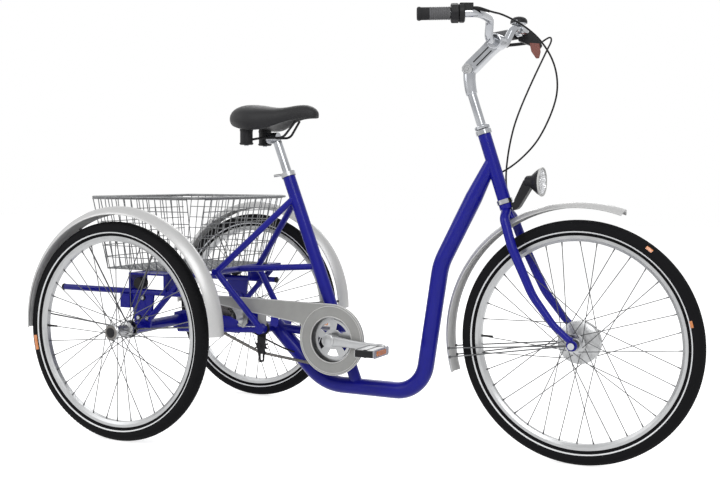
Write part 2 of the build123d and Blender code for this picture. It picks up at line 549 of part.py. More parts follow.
def make_drive():
    """Chainring, cranks, pedals, gear hub, chains, tensioner and the chain guard."""
    ring_face = toothed_wheel(RING_TEETH, CHAIN_Y, 3.0, 54.0)
    spider = cross_rod((0, 0, 0), 24.0, CHAIN_Y - 4, CHAIN_Y + 4)
    for arm in range(5):
        angle = radians(72 * arm + 18)
        tip = Vector(60 * cos(angle), CHAIN_Y, 60 * sin(angle))
        spider += rod((0, CHAIN_Y, 0), tip, 5.0)
    chainring = ring_face + spider - cross_rod((0, 0, 0), 13.0 + SHAFT_FIT, -200, 200)
    save("chainring", Pos(CRANK_AXLE) * chainring)

    crankset = cross_rod(CRANK_AXLE, 8.5, -CRANK_Y + 4, CRANK_Y - 4)
    crankset += cross_rod(CRANK_AXLE, 13.0, CHAIN_Y - 20, CHAIN_Y + 9)
    crank_way = Vector(cos(radians(CRANK_DROP)), 0, -sin(radians(CRANK_DROP)))
    for name, side in SIDES.items():
        eye = CRANK_AXLE - crank_way * side * CRANK_LENGTH
        y = side * CRANK_Y
        along = Vector(-side * crank_way.X, 0, -side * crank_way.Z)
        sideways = Vector(-along.Z, 0, along.X)
        outline = [CRANK_AXLE + sideways * 16, eye + sideways * 12, eye - sideways * 12,
                   CRANK_AXLE - sideways * 16]
        arm = side_plate([(point.X, point.Z) for point in outline], y, 13.0)
        arm += cross_rod(CRANK_AXLE, 19.0, y - 8, y + 8) + cross_rod(eye, 13.5, y - 7, y + 7)
        arm -= cross_rod(eye, 6.0 + SHAFT_FIT, y - 20, y + 20)
        crankset += arm
        save(f"pedal_{name}", make_pedal(eye, side))
    save("crankset", crankset)

    hub_sprocket = toothed_wheel(HUB_TEETH, CHAIN_Y, 3.0, 5.0)
    hub_sprocket += cross_rod((0, 0, 0), 20.0, CHAIN_Y - 4, -HUB_HALF - FIT)
    hub_sprocket -= cross_rod((0, 0, 0), 5.0 + SHAFT_FIT, -200, 200)
    save("drive_sprocket", Pos(GEAR_HUB) * hub_sprocket)
    shell = ring([(5.0 + SHAFT_FIT, -HUB_HALF), (30, -HUB_HALF), (30, -36), (42, -36), (42, -33), (34, -30),
                  (34, 22), (42, 24), (42, 27), (24, 28), (24, HUB_HALF), (5.0 + SHAFT_FIT, HUB_HALF)])
    shell += toothed_wheel(AXLE_TEETH, AXLE_CHAIN_Y, 3.0, 20.0)
    save("gear_hub", Pos(GEAR_HUB) * shell)
    pin = cross_rod(GEAR_HUB, 5.0, -PLATE_Y - 14, PLATE_Y + 14)
    for side, inner in ((-1, 4 + FIT - CHAIN_Y), (1, HUB_HALF + FIT)):
        nut_y = side * (PLATE_Y + PLATE_THICKNESS / 2 + 5 + FIT)
        pin += cross_rod(GEAR_HUB, 9.0, nut_y - 5, nut_y + 5)
        low, high = sorted((side * inner, side * (PLATE_Y - PLATE_THICKNESS / 2 - FIT)))
        pin += cross_rod(GEAR_HUB, 8.0, low, high)
    save("hub_axle", pin)

    axle = cross_rod(REAR_HUB, AXLE_DIAMETER / 2, -WHEEL_Y - 24, WHEEL_Y + 24)
    carrier = ring([(AXLE_DIAMETER / 2 - 1, 24), (20, 24), (20, 44), (AXLE_DIAMETER / 2 - 1, 44)])
    axle += Pos(REAR_HUB) * (carrier + toothed_wheel(AXLE_TEETH, AXLE_CHAIN_Y, 3.0, 18.0))
    save("axle_shaft", axle)

    main_wheels = [(CRANK_X, CRANK_Z, pitch_radius(RING_TEETH)), (HUB_X, HUB_Z, pitch_radius(HUB_TEETH)),
                   (PULLEY_X, PULLEY_Z, pitch_radius(PULLEY_TEETH))]
    save("chain", chain_loop(main_wheels, CHAIN_Y, 2 * CHAIN_PITCH, 38.0))
    axle_wheels = [(0, REAR_RADIUS, pitch_radius(AXLE_TEETH)), (HUB_X, HUB_Z, pitch_radius(AXLE_TEETH))]
    save("axle_chain", chain_loop(axle_wheels, AXLE_CHAIN_Y, 2 * CHAIN_PITCH, 26.0))

    pulley = toothed_wheel(PULLEY_TEETH, 0, 3.0, 4.0)
    arm_outline = ((-9, 46), (22, 46), (19, 10), (14, -46), (-2, -50), (-9, -10))
    arm = side_plate(arm_outline, -7.5, 3.0) - Pos(6, -7.5, -32) * Box(8, 10, 20)
    hanger = cross_rod((LUG_X - PULLEY_X, 0, LUG_Z - PULLEY_Z), LUG_DIAMETER / 2 + 5, -13, -6)
    shape = pulley + arm + cross_rod((0, 0, 0), 5.0, -12, 3) + hanger
    shape -= cross_rod((LUG_X - PULLEY_X, 0, LUG_Z - PULLEY_Z), LUG_DIAMETER / 2 + FIT / 3, -20, 20)
    save("chain_tensioner", Pos(PULLEY_X, CHAIN_Y, PULLEY_Z) * shape)

    plane = Plane(origin=(0, GUARD_Y, 0), x_dir=(1, 0, 0), z_dir=(0, -1, 0))
    arm = make_face(Polyline((CRANK_X, CRANK_Z + GUARD_RADIUS), (66, 399), (66, 358), (CRANK_X - 80, 322),
                             (CRANK_X, CRANK_Z), close=True))
    outline = arm + Pos(CRANK_X, CRANK_Z) * Circle(GUARD_RADIUS) - Pos(CRANK_X, CRANK_Z) * Circle(GUARD_OPENING)
    plate = extrude(plane * outline, -SHEET)
    full = arm + Pos(CRANK_X, CRANK_Z) * Circle(GUARD_RADIUS)
    wall = extrude(plane * (full - offset(full, -SHEET)), -GUARD_DEPTH)
    tab = side_plate(((LUG_X - 14, LUG_Z), (LUG_X + 14, LUG_Z), (LUG_X + 14, LUG_Z + 34),
                      (LUG_X - 14, LUG_Z + 36)), GUARD_Y + SHEET / 2, SHEET)
    save("chain_guard", plate + wall + (tab - cross_rod(LUG, LUG_DIAMETER / 2 + FIT / 3, -100, 100)))


def make_pedal(eye, side):
    """Open cage pedal on its own pin."""
    start = side * (CRANK_Y + 8)
    middle = side * (CRANK_Y + 14 + PEDAL_LENGTH / 2)
    end = middle + side * PEDAL_LENGTH / 2
    inner_y = middle - side * PEDAL_LENGTH / 2
    pedal = cross_rod((0, 0, 0), 12.0, min(inner_y, end), max(inner_y, end))
    for way in (-1, 1):
        pedal += Pos(way * (PEDAL_WIDTH / 2 - 4), middle, 0) * Box(8, PEDAL_LENGTH, PEDAL_HEIGHT)
    for y in (inner_y + side * 3, end - side * 3):
        pedal += Pos(0, y, 0) * Box(PEDAL_WIDTH, 6, PEDAL_HEIGHT - 4)
    low, high = sorted((side * (CRANK_Y - 6), end - side * 4))
    pedal += cross_rod((0, 0, 0), 6.0, low, high)
    return Pos(eye) * pedal


def make_wheels():
    """Tyre, rim and laced hub of each wheel."""
    front_body = ((4, -37), (16, -37), (16, -33), (27, -33), (27, -29), (20, -27), (20, -4), (50, 0),
                  (56, 4), (56, 30), (53, 34), (4, 34))
    for label, part in (("tyre", tyre(FRONT_RADIUS)), ("rim", rim(FRONT_RADIUS))):
        save(f"front_{label}", Pos(FRONT_HUB) * part)
    hub = laced_hub(FRONT_RADIUS, front_body, ((-31.0, 22.0), (28.0, 52.0)), 5.0 + SHAFT_FIT)
    save("front_hub", Pos(FRONT_HUB) * hub)

    # radius and distance outboard of the wheel's middle plane
    rear_body = ((4, -43.5), (20, -43.5), (25, -42), (25, -38), (15, -34), (15, 16), (25, 19), (25, 23),
                 (20, 24), (20, 26.5), (4, 26.5))
    for name, side in SIDES.items():
        place = Pos(0, side * WHEEL_Y, REAR_RADIUS)
        save(f"rear_tyre_{name}", place * tyre(REAR_RADIUS))
        save(f"rear_rim_{name}", place * rim(REAR_RADIUS))
        body = [(radius, side * out) for radius, out in rear_body]
        flanges = ((side * -40.0, 21.5), (side * 21.0, 21.5))
        hub = laced_hub(REAR_RADIUS, body, flanges, AXLE_DIAMETER / 2 + SHAFT_FIT)
        save(f"rear_hub_{name}", place * hub)


def make_steering():
    """Fork, axle, stem, bar and all that turns with them."""
    save("fork", fork())
    axle = cross_rod(FRONT_HUB, 5.0, -FORK_HALF_WIDTH - 8, FORK_HALF_WIDTH + 8)
    for side in SIDES.values():
        nut_y = side * (FORK_HALF_WIDTH + 3 + 4 + FIT)
        axle += cross_rod(FRONT_HUB, 9.0, nut_y - 4, nut_y + 4)
    save("front_axle", axle)

    quill_base = HEAD_TOP + HEAD_UP * (12 + FIT)
    quill_top = HEAD_TOP + HEAD_UP * QUILL_RISE
    pivot = Vector(STEM_PIVOT_X, 0, STEM_PIVOT_Z)
    stem = rod(quill_base + HEAD_UP * 0.3, quill_base + HEAD_UP * 12, 20.0)
    stem += rod(quill_base, quill_top, QUILL_DIAMETER / 2) + rod(quill_top, pivot, QUILL_DIAMETER / 2 + 3)
    stem += cross_rod(pivot, 19.0, -17, 17) + rod(pivot, BAR_CLAMP, 13.0)
    stem += cross_rod(BAR_CLAMP, 19.0, -24, 24)
    stem -= cross_rod(BAR_CLAMP, BAR_DIAMETER / 2 + SHAFT_FIT, -40, 40)
    save("stem", stem)
    save("handlebar", handlebar())
    bar = BAR_DIAMETER / 2 + SHAFT_FIT
    save("grip_right", sleeve(-1, -5, 80, GRIP_DIAMETER / 2, bar))
    save("grip_left", sleeve(1, -5, 96, GRIP_DIAMETER / 2, bar))
    save("shifter", sleeve(-1, 80 + FIT, 116, 23.0, bar))

    perch = sleeve(1, 96 + FIT, 112, 16.0, bar)
    away = Vector(-GRIP_LINE.Y, GRIP_LINE.X, 0) * -1
    hinge_spot = on_grip(1, 112) + away * 36 - Vector(0, 0, 8)
    perch += rod(on_grip(1, 104) + away * 15, hinge_spot, 7.0)
    blade = bent_bar([hinge_spot, hinge_spot + away * 14 + GRIP_LINE * 14, hinge_spot + away * 18 + GRIP_LINE * 60,
                      hinge_spot + away * 6 + GRIP_LINE * 112], [10.0, 60.0], 5.0)
    save("brake_lever", perch + blade)
    run = (GRIP_ROOT - BELL_RUN).normalized()
    bell_spot = BELL_RUN + run * 40
    dome = bell_spot + Vector(0, 0, 20)
    bell = rod(bell_spot - run * 6, bell_spot + run * 6, 15.0) - rod(bell_spot - run * 12, bell_spot + run * 12, bar)
    bell += rod(bell_spot + Vector(0, 0, 13), dome + Vector(0, 0, 1), 5.0)
    bell += Pos(dome) * (Sphere(24.0) & Pos(0, 0, 8) * Box(60, 60, 16))
    save("bell", bell)

    fender = Pos(FRONT_HUB) * mudguard(FRONT_GUARD_RADIUS, FRONT_GUARD_WIDTH, 71.4, 125.4)
    for side in SIDES.values():
        root = FRONT_HUB + ACROSS * side * (FORK_HALF_WIDTH - 3 - 2 - FIT)
        fender += cross_rod(root, 11.0, root.Y - 2, root.Y + 2) - cross_rod(root, 5.0 + SHAFT_FIT, -90, 90)
        for angle in (186.0, 190.0):
            way = Vector(cos(radians(angle)), 0, sin(radians(angle)))
            reach = FRONT_HUB + way * (FRONT_GUARD_RADIUS - GUARD_CROWN - 3)
            end = Vector(reach.X, side * (FRONT_GUARD_WIDTH / 2 - 0.5), reach.Z)
            fender += rod(root + way * 9, end, 2.0) + rod(end - way * 1, end + way * 4, 2.0)
    save("front_fender", fender)

    lamp_middle = Vector(1118.0, 0, 752.0)
    ahead = Vector(HEAD_UP.Z, 0, -HEAD_UP.X)
    mount = bent_bar([HEAD_LOW - HEAD_UP * 21 + ahead * 21, Vector(1092, 0, 708),
                      lamp_middle + Vector(-8, 0, -20)], [10.0], 4.0)
    shell = rod(lamp_middle + Vector(-34, 0, 0), lamp_middle, 26.0)
    shell += cone(lamp_middle, lamp_middle + Vector(20, 0, 0), 30.0, 38.0)
    save("lamp", mount + shell)
    save("lamp_lens", rod(lamp_middle + Vector(20 + FIT / 3, 0, 0), lamp_middle + Vector(25, 0, 0), 35.0))


def main():
    os.makedirs("parts", exist_ok=True)
    make_frame()
    make_rear_axle()
    make_rear_fenders()
    make_basket()
    make_seat()
    make_drive()
    make_wheels()
    make_steering()


main()
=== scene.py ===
import json
from math import atan2, cos, pi, radians, sin, sqrt

import bmesh
import bpy
import numpy as np
from mathutils import Matrix, Vector
from mathutils.geometry import tessellate_polygon


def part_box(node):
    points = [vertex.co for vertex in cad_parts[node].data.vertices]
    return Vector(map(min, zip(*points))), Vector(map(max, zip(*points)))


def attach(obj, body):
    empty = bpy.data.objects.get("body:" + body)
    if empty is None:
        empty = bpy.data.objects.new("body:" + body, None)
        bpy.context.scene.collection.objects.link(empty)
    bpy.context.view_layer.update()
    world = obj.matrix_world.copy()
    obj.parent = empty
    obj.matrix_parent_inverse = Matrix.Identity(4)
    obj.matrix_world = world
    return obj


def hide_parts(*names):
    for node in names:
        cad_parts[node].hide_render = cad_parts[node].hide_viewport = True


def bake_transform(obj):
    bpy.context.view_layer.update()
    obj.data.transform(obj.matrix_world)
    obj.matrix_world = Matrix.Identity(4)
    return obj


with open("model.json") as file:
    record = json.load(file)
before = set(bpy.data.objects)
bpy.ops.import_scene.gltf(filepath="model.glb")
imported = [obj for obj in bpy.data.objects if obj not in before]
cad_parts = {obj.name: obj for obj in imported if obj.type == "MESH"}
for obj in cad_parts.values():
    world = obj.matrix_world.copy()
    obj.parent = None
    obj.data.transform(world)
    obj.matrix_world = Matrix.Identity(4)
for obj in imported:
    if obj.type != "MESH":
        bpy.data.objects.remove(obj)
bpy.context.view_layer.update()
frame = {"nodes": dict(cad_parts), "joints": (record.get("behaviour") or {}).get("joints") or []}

# Joints are in metres. Places are given in millimetres from the ground under the middle of the rear axle.
JOINTS = {joint["name"]: Vector(joint["pos_m"]) for joint in frame["joints"]}
STEERING_AXIS = Vector([joint["axis"] for joint in frame["joints"] if joint["name"] == "steering"][0])
MM = 0.001
REAR_X = JOINTS["rear_wheel_right_spin"].x
FRONT_AXLE = JOINTS["front_wheel_spin"]
REAR_AXLES = {"right": JOINTS["rear_wheel_right_spin"], "left": JOINTS["rear_wheel_left_spin"]}
CRANK_AXLE = JOINTS["crank_spin"]
HUB_AXLE = JOINTS["gear_hub_spin"]
AHEAD, ACROSS, UP = Vector((1, 0, 0)), Vector((0, 1, 0)), Vector((0, 0, 1))
SIDES = {"left": 1, "right": -1}


def spot(x, y, z):
    """A place in the shared frame from millimetres ahead of the rear axle, to its left and above the ground."""
    return Vector((REAR_X + x * MM, y * MM, z * MM))


# Sizes in millimetres
FRONT_RADIUS = FRONT_AXLE.z / MM
REAR_RADIUS = REAR_AXLES["left"].z / MM
TYRE_WIDTH = 41.0
TYRE_HEIGHT = 41.0
TREAD_STEPS = 600
BEAD_HALF = 10.0
STRIPE_DROP = 31.0
STRIPE_WIDTH = 3.4
SPOKES = 36
SPOKE_RADIUS = 1.2
SPOKE_TURN = 58.0
SPOKE_STEP = 2.4
NIPPLE_LENGTH = 11.0
RIM_DEPTH = 15.5
FRONT_GUARD_RADIUS = 375.0
FRONT_GUARD_WIDTH = 56.0
FRONT_GUARD_CROWN = 14.0
FRONT_GUARD_ARC = (71.4, 125.4)
REAR_GUARD_CENTRE = spot(15.0, 0.0, 328.0)
REAR_GUARD_RADIUS = 350.0
REAR_GUARD_WIDTH = 61.0
REAR_GUARD_CROWN = 20.0
REAR_GUARD_ARC = (0.0, 183.0)
CHAIN_PITCH = 12.7
CABLE_RADIUS = 2.5


# Shapes: each is a list of points in metres and a list of faces

def merge(*shapes):
    """Several shapes as one."""
    points, faces = [], []
    for some_points, some_faces in shapes:
        start = len(points)
        points.extend(some_points)
        faces.extend([tuple(start + index for index in face) for face in some_faces])
    return points, faces


def moved(shape, matrix):
    """Shape put in another place."""
    return [matrix @ Vector(point) for point in shape[0]], shape[1]


def axes_about(axis):
    """Two directions square to an axis and to each other."""
    axis = Vector(axis).normalized()
    side = axis.cross(Vector((0, 0, 1)))
    if side.length < 0.1:
        side = axis.cross(Vector((1, 0, 0)))
    side.normalize()
    return side, axis.cross(side)


def bands(rows, around, closed=False):
    """Faces between neighbouring rings of points, and from the last ring to the first when closed."""
    faces = []
    for row in range(rows if closed else rows - 1):
        here, after = row * around, (row + 1) % rows * around
        for step in range(around):
            turn = (step + 1) % around
            faces.append((here + step, here + turn, after + turn, after + step))
    return faces


def ends(rows, around):
    """Faces that close the first and the last ring."""
    return [tuple(row * around + step for step in range(around)) for row in (0, rows - 1)]


def about(axle, y, radius, angle):
    """A place beside an axle that lies across, with its angle above the front horizontal."""
    return axle + Vector((radius * cos(angle), y, radius * sin(angle))) * MM


def arc(radius, angles, centre=(0.0, 0.0)):
    """Flat points on a circle at angles in degrees."""
    along, up = centre
    return [(along + radius * cos(radians(angle)), up + radius * sin(radians(angle))) for angle in angles]


def pressed(value, power):
    """Sine or cosine drawn towards a squarer curve, with its sign kept."""
    return abs(value) ** power * (1 if value > 0 else -1)


def lathe(profile, centre, axis, steps=48):
    """Turned shape from (distance along the axis, radius) in millimetres, open or closed."""
    axis = Vector(axis).normalized()
    side, other = axes_about(axis)
    points = []
    for along, radius in profile:
        for step in range(steps):
            angle = 2 * pi * step / steps
            round_it = (side * cos(angle) + other * sin(angle)) * radius * MM
            points.append(centre + axis * along * MM + round_it)
    faces = bands(len(profile), steps)
    if profile[0] != profile[-1]:
        faces += ends(len(profile), steps)
    return points, faces


def ring(half, bore, outer, centre, axis, steps):
    """Plain ring, centred on its thickness."""
    profile = [(-half, bore), (-half, outer), (half, outer), (half, bore), (-half, bore)]
    return lathe(profile, centre, axis, steps)


def strut(start, end, start_radius, end_radius=None, sides=10):
    """Straight round bar, or a cone."""
    start, end = Vector(start), Vector(end)
    length = (end - start).length / MM
    end_radius = start_radius if end_radius is None else end_radius
    return lathe([(0, start_radius), (length, end_radius)], start, end - start, sides)


def smooth(points, per_run=8):
    """More points along a rounded line through the given ones."""
    points = [Vector(point) for point in points]
    ends = [points[0] * 2 - points[1]] + points + [points[-1] * 2 - points[-2]]
    line = []
    for i in range(1, len(ends) - 2):
        before, start, end, after = ends[i - 1:i + 3]
        for step in range(per_run):
            t = step / per_run
            bend = (before * 2 - start * 5 + end * 4 - after) * t * t
            turn = (start * 3 - before - end * 3 + after) * t ** 3
            line.append((start * 2 + (end - before) * t + bend + turn) / 2)
    return line + [points[-1]]


def pipe(line, radius, sides=10, closed=False):
    """Round bar along a line; radius is one number or one for each point."""
    line = [Vector(point) for point in line]
    radii = list(radius) if hasattr(radius, "__len__") else [radius] * len(line)
    count = len(line)
    points, side = [], None
    for i, point in enumerate(line):
        before = line[i - 1] if i or closed else point
        after = line[(i + 1) % count] if i + 1 < count or closed else point
        way = (after - before).normalized()
        side = axes_about(way)[0] if side is None else (side - way * side.dot(way)).normalized()
        other = way.cross(side)
        for step in range(sides):
            angle = 2 * pi * step / sides
            points.append(point + (side * cos(angle) + other * sin(angle)) * radii[i] * MM)
    faces = bands(count, sides, closed)
    return points, faces if closed else faces + ends(count, sides)


def block(centre, size, turn=None):
    """Box with its middle, its sizes in millimetres and a rotation matrix."""
    turn = turn or Matrix.Identity(3)
    points = [centre + turn @ Vector((x * size[0], y * size[1], z * size[2])) * MM / 2
              for x in (-1, 1) for y in (-1, 1) for z in (-1, 1)]
    return points, [(0, 1, 3, 2), (4, 6, 7, 5), (0, 4, 5, 1), (2, 3, 7, 6), (0, 2, 6, 4), (1, 5, 7, 3)]


def prism(outline, centre, along, across, normal, thickness):
    """Plate from an outline of (along, across) in millimetres, centred on its thickness."""
    along, across, normal = [Vector(way).normalized() for way in (along, across, normal)]
    count = len(outline)
    points = [centre + (along * u + across * v + normal * level * thickness / 2) * MM
              for level in (-1, 1) for u, v in outline]
    faces = [tuple(range(count)), tuple(range(count, 2 * count))]
    faces += [(i, (i + 1) % count, count + (i + 1) % count, count + i) for i in range(count)]
    return points, faces


def cut_plate(loops, place, levels):
    """Flat plate from an outline and its holes; place gives a point from along, level and up."""
    flat = [point for loop in loops for point in loop]
    count = len(flat)
    points = [place(u, level, v) for level in levels for u, v in flat]
    triangles = tessellate_polygon([[Vector((u, v, 0)) for u, v in loop] for loop in loops])
    faces = [tuple(corners) for corners in triangles]
    faces += [tuple(count + corner for corner in reversed(corners)) for corners in triangles]
    first = 0
    for loop in loops:
        size = len(loop)
        for i in range(size):
            here, after = first + i, first + (i + 1) % size
            faces.append((here, after, count + after, count + here))
        first += size
    return points, faces


def nut(centre, axis, radius, height):
    """Six-sided nut with chamfered corners."""
    return lathe([(-height / 2, radius * 0.9), (-height / 2 + 1, radius), (height / 2 - 1, radius),
                  (height / 2, radius * 0.9)], centre, axis, 6)


# Materials

def pattern(name, fill):
    """Node group that gives a mask from 0 to 1 at a scale."""
    group = bpy.data.node_groups.new(name, "ShaderNodeTree")
    group.interface.new_socket("Scale", in_out="INPUT", socket_type="NodeSocketFloat")
    group.interface.new_socket("Mask", in_out="OUTPUT", socket_type="NodeSocketFloat")
    start = group.nodes.new("NodeGroupInput")
    end = group.nodes.new("NodeGroupOutput")
    place = group.nodes.new("ShaderNodeTexCoord")
    fill(group, start.outputs["Scale"], place.outputs["Object"], end.inputs["Mask"])
    return group


def fill_cloudy(group, scale, place, mask):
    """Soft clouds, as in lacquer and moulded plastic."""
    noise = group.nodes.new("ShaderNodeTexNoise")
    noise.inputs["Detail"].default_value = 4.0
    group.links.new(place, noise.inputs["Vector"])
    group.links.new(scale, noise.inputs["Scale"])
    group.links.new(noise.outputs["Fac"], mask)


def fill_cells(group, scale, place, mask):
    """Small rounded cells, as in rubber and grained plastic."""
    cells = group.nodes.new("ShaderNodeTexVoronoi")
    cells.feature = "SMOOTH_F1"
    group.links.new(place, cells.inputs["Vector"])
    group.links.new(scale, cells.inputs["Scale"])
    group.links.new(cells.outputs["Distance"], mask)


def fill_spangle(group, scale, place, mask):
    """Flat flakes of one tone each, as in zinc."""
    cells = group.nodes.new("ShaderNodeTexVoronoi")
    group.links.new(place, cells.inputs["Vector"])
    group.links.new(scale, cells.inputs["Scale"])
    split = group.nodes.new("ShaderNodeSeparateColor")
    group.links.new(cells.outputs["Color"], split.inputs["Color"])
    group.links.new(split.outputs["Red"], mask)


def fill_brushed(group, scale, place, mask):
    """Fine streaks, as in brushed metal."""
    stretch = group.nodes.new("ShaderNodeVectorMath")
    stretch.operation = "MULTIPLY"
    stretch.inputs[1].default_value = (0.12, 3.0, 0.12)
    group.links.new(place, stretch.inputs[0])
    noise = group.nodes.new("ShaderNodeTexNoise")
    noise.inputs["Detail"].default_value = 3.0
    group.links.new(stretch.outputs["Vector"], noise.inputs["Vector"])
    group.links.new(scale, noise.inputs["Scale"])
    group.links.new(noise.outputs["Fac"], mask)


PATTERNS = {"cloudy": pattern("cloudy", fill_cloudy), "cells": pattern("cells", fill_cells),
            "spangle": pattern("spangle", fill_spangle), "brushed": pattern("brushed", fill_brushed)}


def material(name, dark, light, rough, tone=("cloudy", 30.0), relief=("cloudy", 900.0, 0.04), **sockets):
    """Surface with two mixed colours, a range of roughness and a fine relief."""
    made = bpy.data.materials.new(name)
    made.use_nodes = True
    tree = made.node_tree
    shader = tree.nodes["Principled BSDF"]

    def mask(kind, scale):
        """Output of one of the patterns at a scale."""
        node = tree.nodes.new("ShaderNodeGroup")
        node.node_tree = PATTERNS[kind]
        node.inputs["Scale"].default_value = scale
        return node.outputs["Mask"]

    tone_mask = mask(*tone)
    mix = tree.nodes.new("ShaderNodeMix")
    mix.data_type = "RGBA"
    mix.inputs["A"].default_value = (*dark, 1)
    mix.inputs["B"].default_value = (*light, 1)
    tree.links.new(tone_mask, mix.inputs[0])
    tree.links.new([out for out in mix.outputs if out.type == "RGBA"][0], shader.inputs["Base Color"])
    spread = tree.nodes.new("ShaderNodeMapRange")
    spread.inputs["To Min"].default_value, spread.inputs["To Max"].default_value = rough
    tree.links.new(tone_mask, spread.inputs["Value"])
    tree.links.new(spread.outputs["Result"], shader.inputs["Roughness"])
    bump = tree.nodes.new("ShaderNodeBump")
    bump.inputs["Strength"].default_value = relief[2]
    bump.inputs["Distance"].default_value = MM
    tree.links.new(mask(relief[0], relief[1]), bump.inputs["Height"])
    tree.links.new(bump.outputs["Normal"], shader.inputs["Normal"])
    for socket, value in sockets.items():
        shader.inputs[socket.replace("_", " ")].default_value = value
    return made


LACQUER = {"Coat_Weight": 0.14, "Coat_Roughness": 0.08, "Specular_IOR_Level": 0.14}
BLUE = material("blue_lacquer", (0.005, 0.006, 0.21), (0.009, 0.010, 0.29), (0.26, 0.34), **LACQUER)
SILVER = material("silver_lacquer", (0.49, 0.49, 0.49), (0.56, 0.56, 0.555), (0.36, 0.46),
                  tone=("cells", 700.0), Metallic=0.35, Coat_Weight=0.4, Coat_Roughness=0.14)
CHROME = material("chrome_plate", (0.24, 0.25, 0.27), (0.52, 0.53, 0.55), (0.07, 0.16),
                  tone=("cloudy", 22.0), Metallic=1.0)
ALLOY = material("brushed_alloy", (0.33, 0.335, 0.34), (0.48, 0.485, 0.49), (0.24, 0.42),
                 tone=("brushed", 260.0), relief=("brushed", 420.0, 0.08), Metallic=1.0)
STEEL_WIRE = material("spoke_steel", (0.05, 0.051, 0.053), (0.13, 0.132, 0.136), (0.28, 0.42), Metallic=1.0)
GALVANISED = material("galvanised_wire", (0.10, 0.102, 0.105), (0.26, 0.265, 0.27), (0.34, 0.55),
                      tone=("spangle", 420.0), Metallic=0.9)
CHAIN_STEEL = material("chain_steel", (0.10, 0.095, 0.09), (0.22, 0.21, 0.20), (0.28, 0.50),
                       tone=("cloudy", 300.0), Metallic=1.0)
MIRROR = material("lamp_mirror", (0.85, 0.86, 0.88), (0.93, 0.94, 0.95), (0.04, 0.10), Metallic=1.0)
RUBBER = material("tyre_rubber", (0.005, 0.005, 0.006), (0.011, 0.011, 0.012), (0.66, 0.88),
                  relief=("cells", 900.0, 0.12), Specular_IOR_Level=0.08)
STRIPE = material("reflecting_stripe", (0.72, 0.73, 0.74), (0.86, 0.87, 0.88), (0.30, 0.45),
                  tone=("cells", 2500.0), relief=("cells", 2500.0, 0.15))
BLACK = material("black_moulding", (0.008, 0.008, 0.009), (0.016, 0.016, 0.018), (0.36, 0.56),
                 relief=("cells", 1500.0, 0.10), Specular_IOR_Level=0.2)
GRIP_BLACK = material("grip_rubber", (0.012, 0.012, 0.013), (0.028, 0.028, 0.030), (0.60, 0.80),
                      relief=("cells", 1300.0, 0.25), Specular_IOR_Level=0.2)
GRIP_GREY = material("grip_grey", (0.10, 0.10, 0.105), (0.15, 0.15, 0.155), (0.55, 0.75),
                     relief=("cells", 1300.0, 0.20), Specular_IOR_Level=0.2)
COVER = material("saddle_cover", (0.010, 0.010, 0.011), (0.024, 0.024, 0.026), (0.42, 0.60),
                 tone=("cells", 420.0), relief=("cells", 900.0, 0.35), Sheen_Weight=0.08,
                 Specular_IOR_Level=0.25)
CABLE = material("cable_sheath", (0.006, 0.006, 0.007), (0.012, 0.012, 0.013), (0.40, 0.55),
                 Specular_IOR_Level=0.15)
GUARD = material("guard_moulding", (0.30, 0.30, 0.29), (0.37, 0.37, 0.36), (0.40, 0.55),
                 relief=("cells", 1800.0, 0.10))
GUARD_EDGE = material("guard_edge", (0.52, 0.52, 0.51), (0.60, 0.60, 0.59), (0.34, 0.48))
AMBER = material("amber_reflector", (0.55, 0.14, 0.01), (0.75, 0.24, 0.02), (0.10, 0.22),
                 tone=("cells", 900.0), relief=("cells", 500.0, 0.6), Coat_Weight=0.8)
RED = material("red_tip", (0.13, 0.028, 0.02), (0.24, 0.07, 0.05), (0.30, 0.45), tone=("cloudy", 160.0))
GLASS = material("lens_glass", (0.92, 0.93, 0.94), (0.98, 0.98, 0.99), (0.03, 0.08),
                 relief=("cells", 260.0, 0.5), Transmission_Weight=0.85, IOR=1.48)


# Pieces

def mark_sharp(mesh, angle):
    """Round shading, with the edges kept that turn by more than the angle."""
    shape = bmesh.new()
    shape.from_mesh(mesh)
    for face in shape.faces:
        face.smooth = True
    for edge in shape.edges:
        edge.smooth = len(edge.link_faces) == 2 and edge.calc_face_angle() < radians(angle)
    shape.to_mesh(mesh)
    shape.free()


def piece(name, shape, surface, body, replaced=(), angle=40, bevel=0.0, rounds=0):
    """New object from points and faces; it rides on a body when one is given."""
    mesh = bpy.data.meshes.new(name)
    mesh.from_pydata([tuple(point) for point in shape[0]], [], shape[1])
    clean = bmesh.new()
    clean.from_mesh(mesh)
    bmesh.ops.remove_doubles(clean, verts=clean.verts, dist=0.01 * MM)
    bmesh.ops.recalc_face_normals(clean, faces=clean.faces)
    clean.to_mesh(mesh)
    clean.free()
    made = bpy.data.objects.new(name, mesh)
    bpy.context.scene.collection.objects.link(made)
    mesh.materials.append(surface)
    mark_sharp(mesh, angle)
    if bevel:
        edge = made.modifiers.new("edges", "BEVEL")
        edge.width = bevel * MM
        edge.segments = 2
        edge.limit_method = "ANGLE"
        edge.angle_limit = radians(40)
    if rounds:
        soft = made.modifiers.new("rounds", "SUBSURF")
        soft.levels = soft.render_levels = rounds
    if body:
        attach(made, body)
    if replaced:
        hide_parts(*replaced)
    return made


def dress(surface, *nodes):
    """Better material on a solid that stays as it is."""
    for node in nodes:
        solid = frame["nodes"][node]
        for index in range(len(solid.material_slots)):
            solid.material_slots[index].material = surface


# Wheels

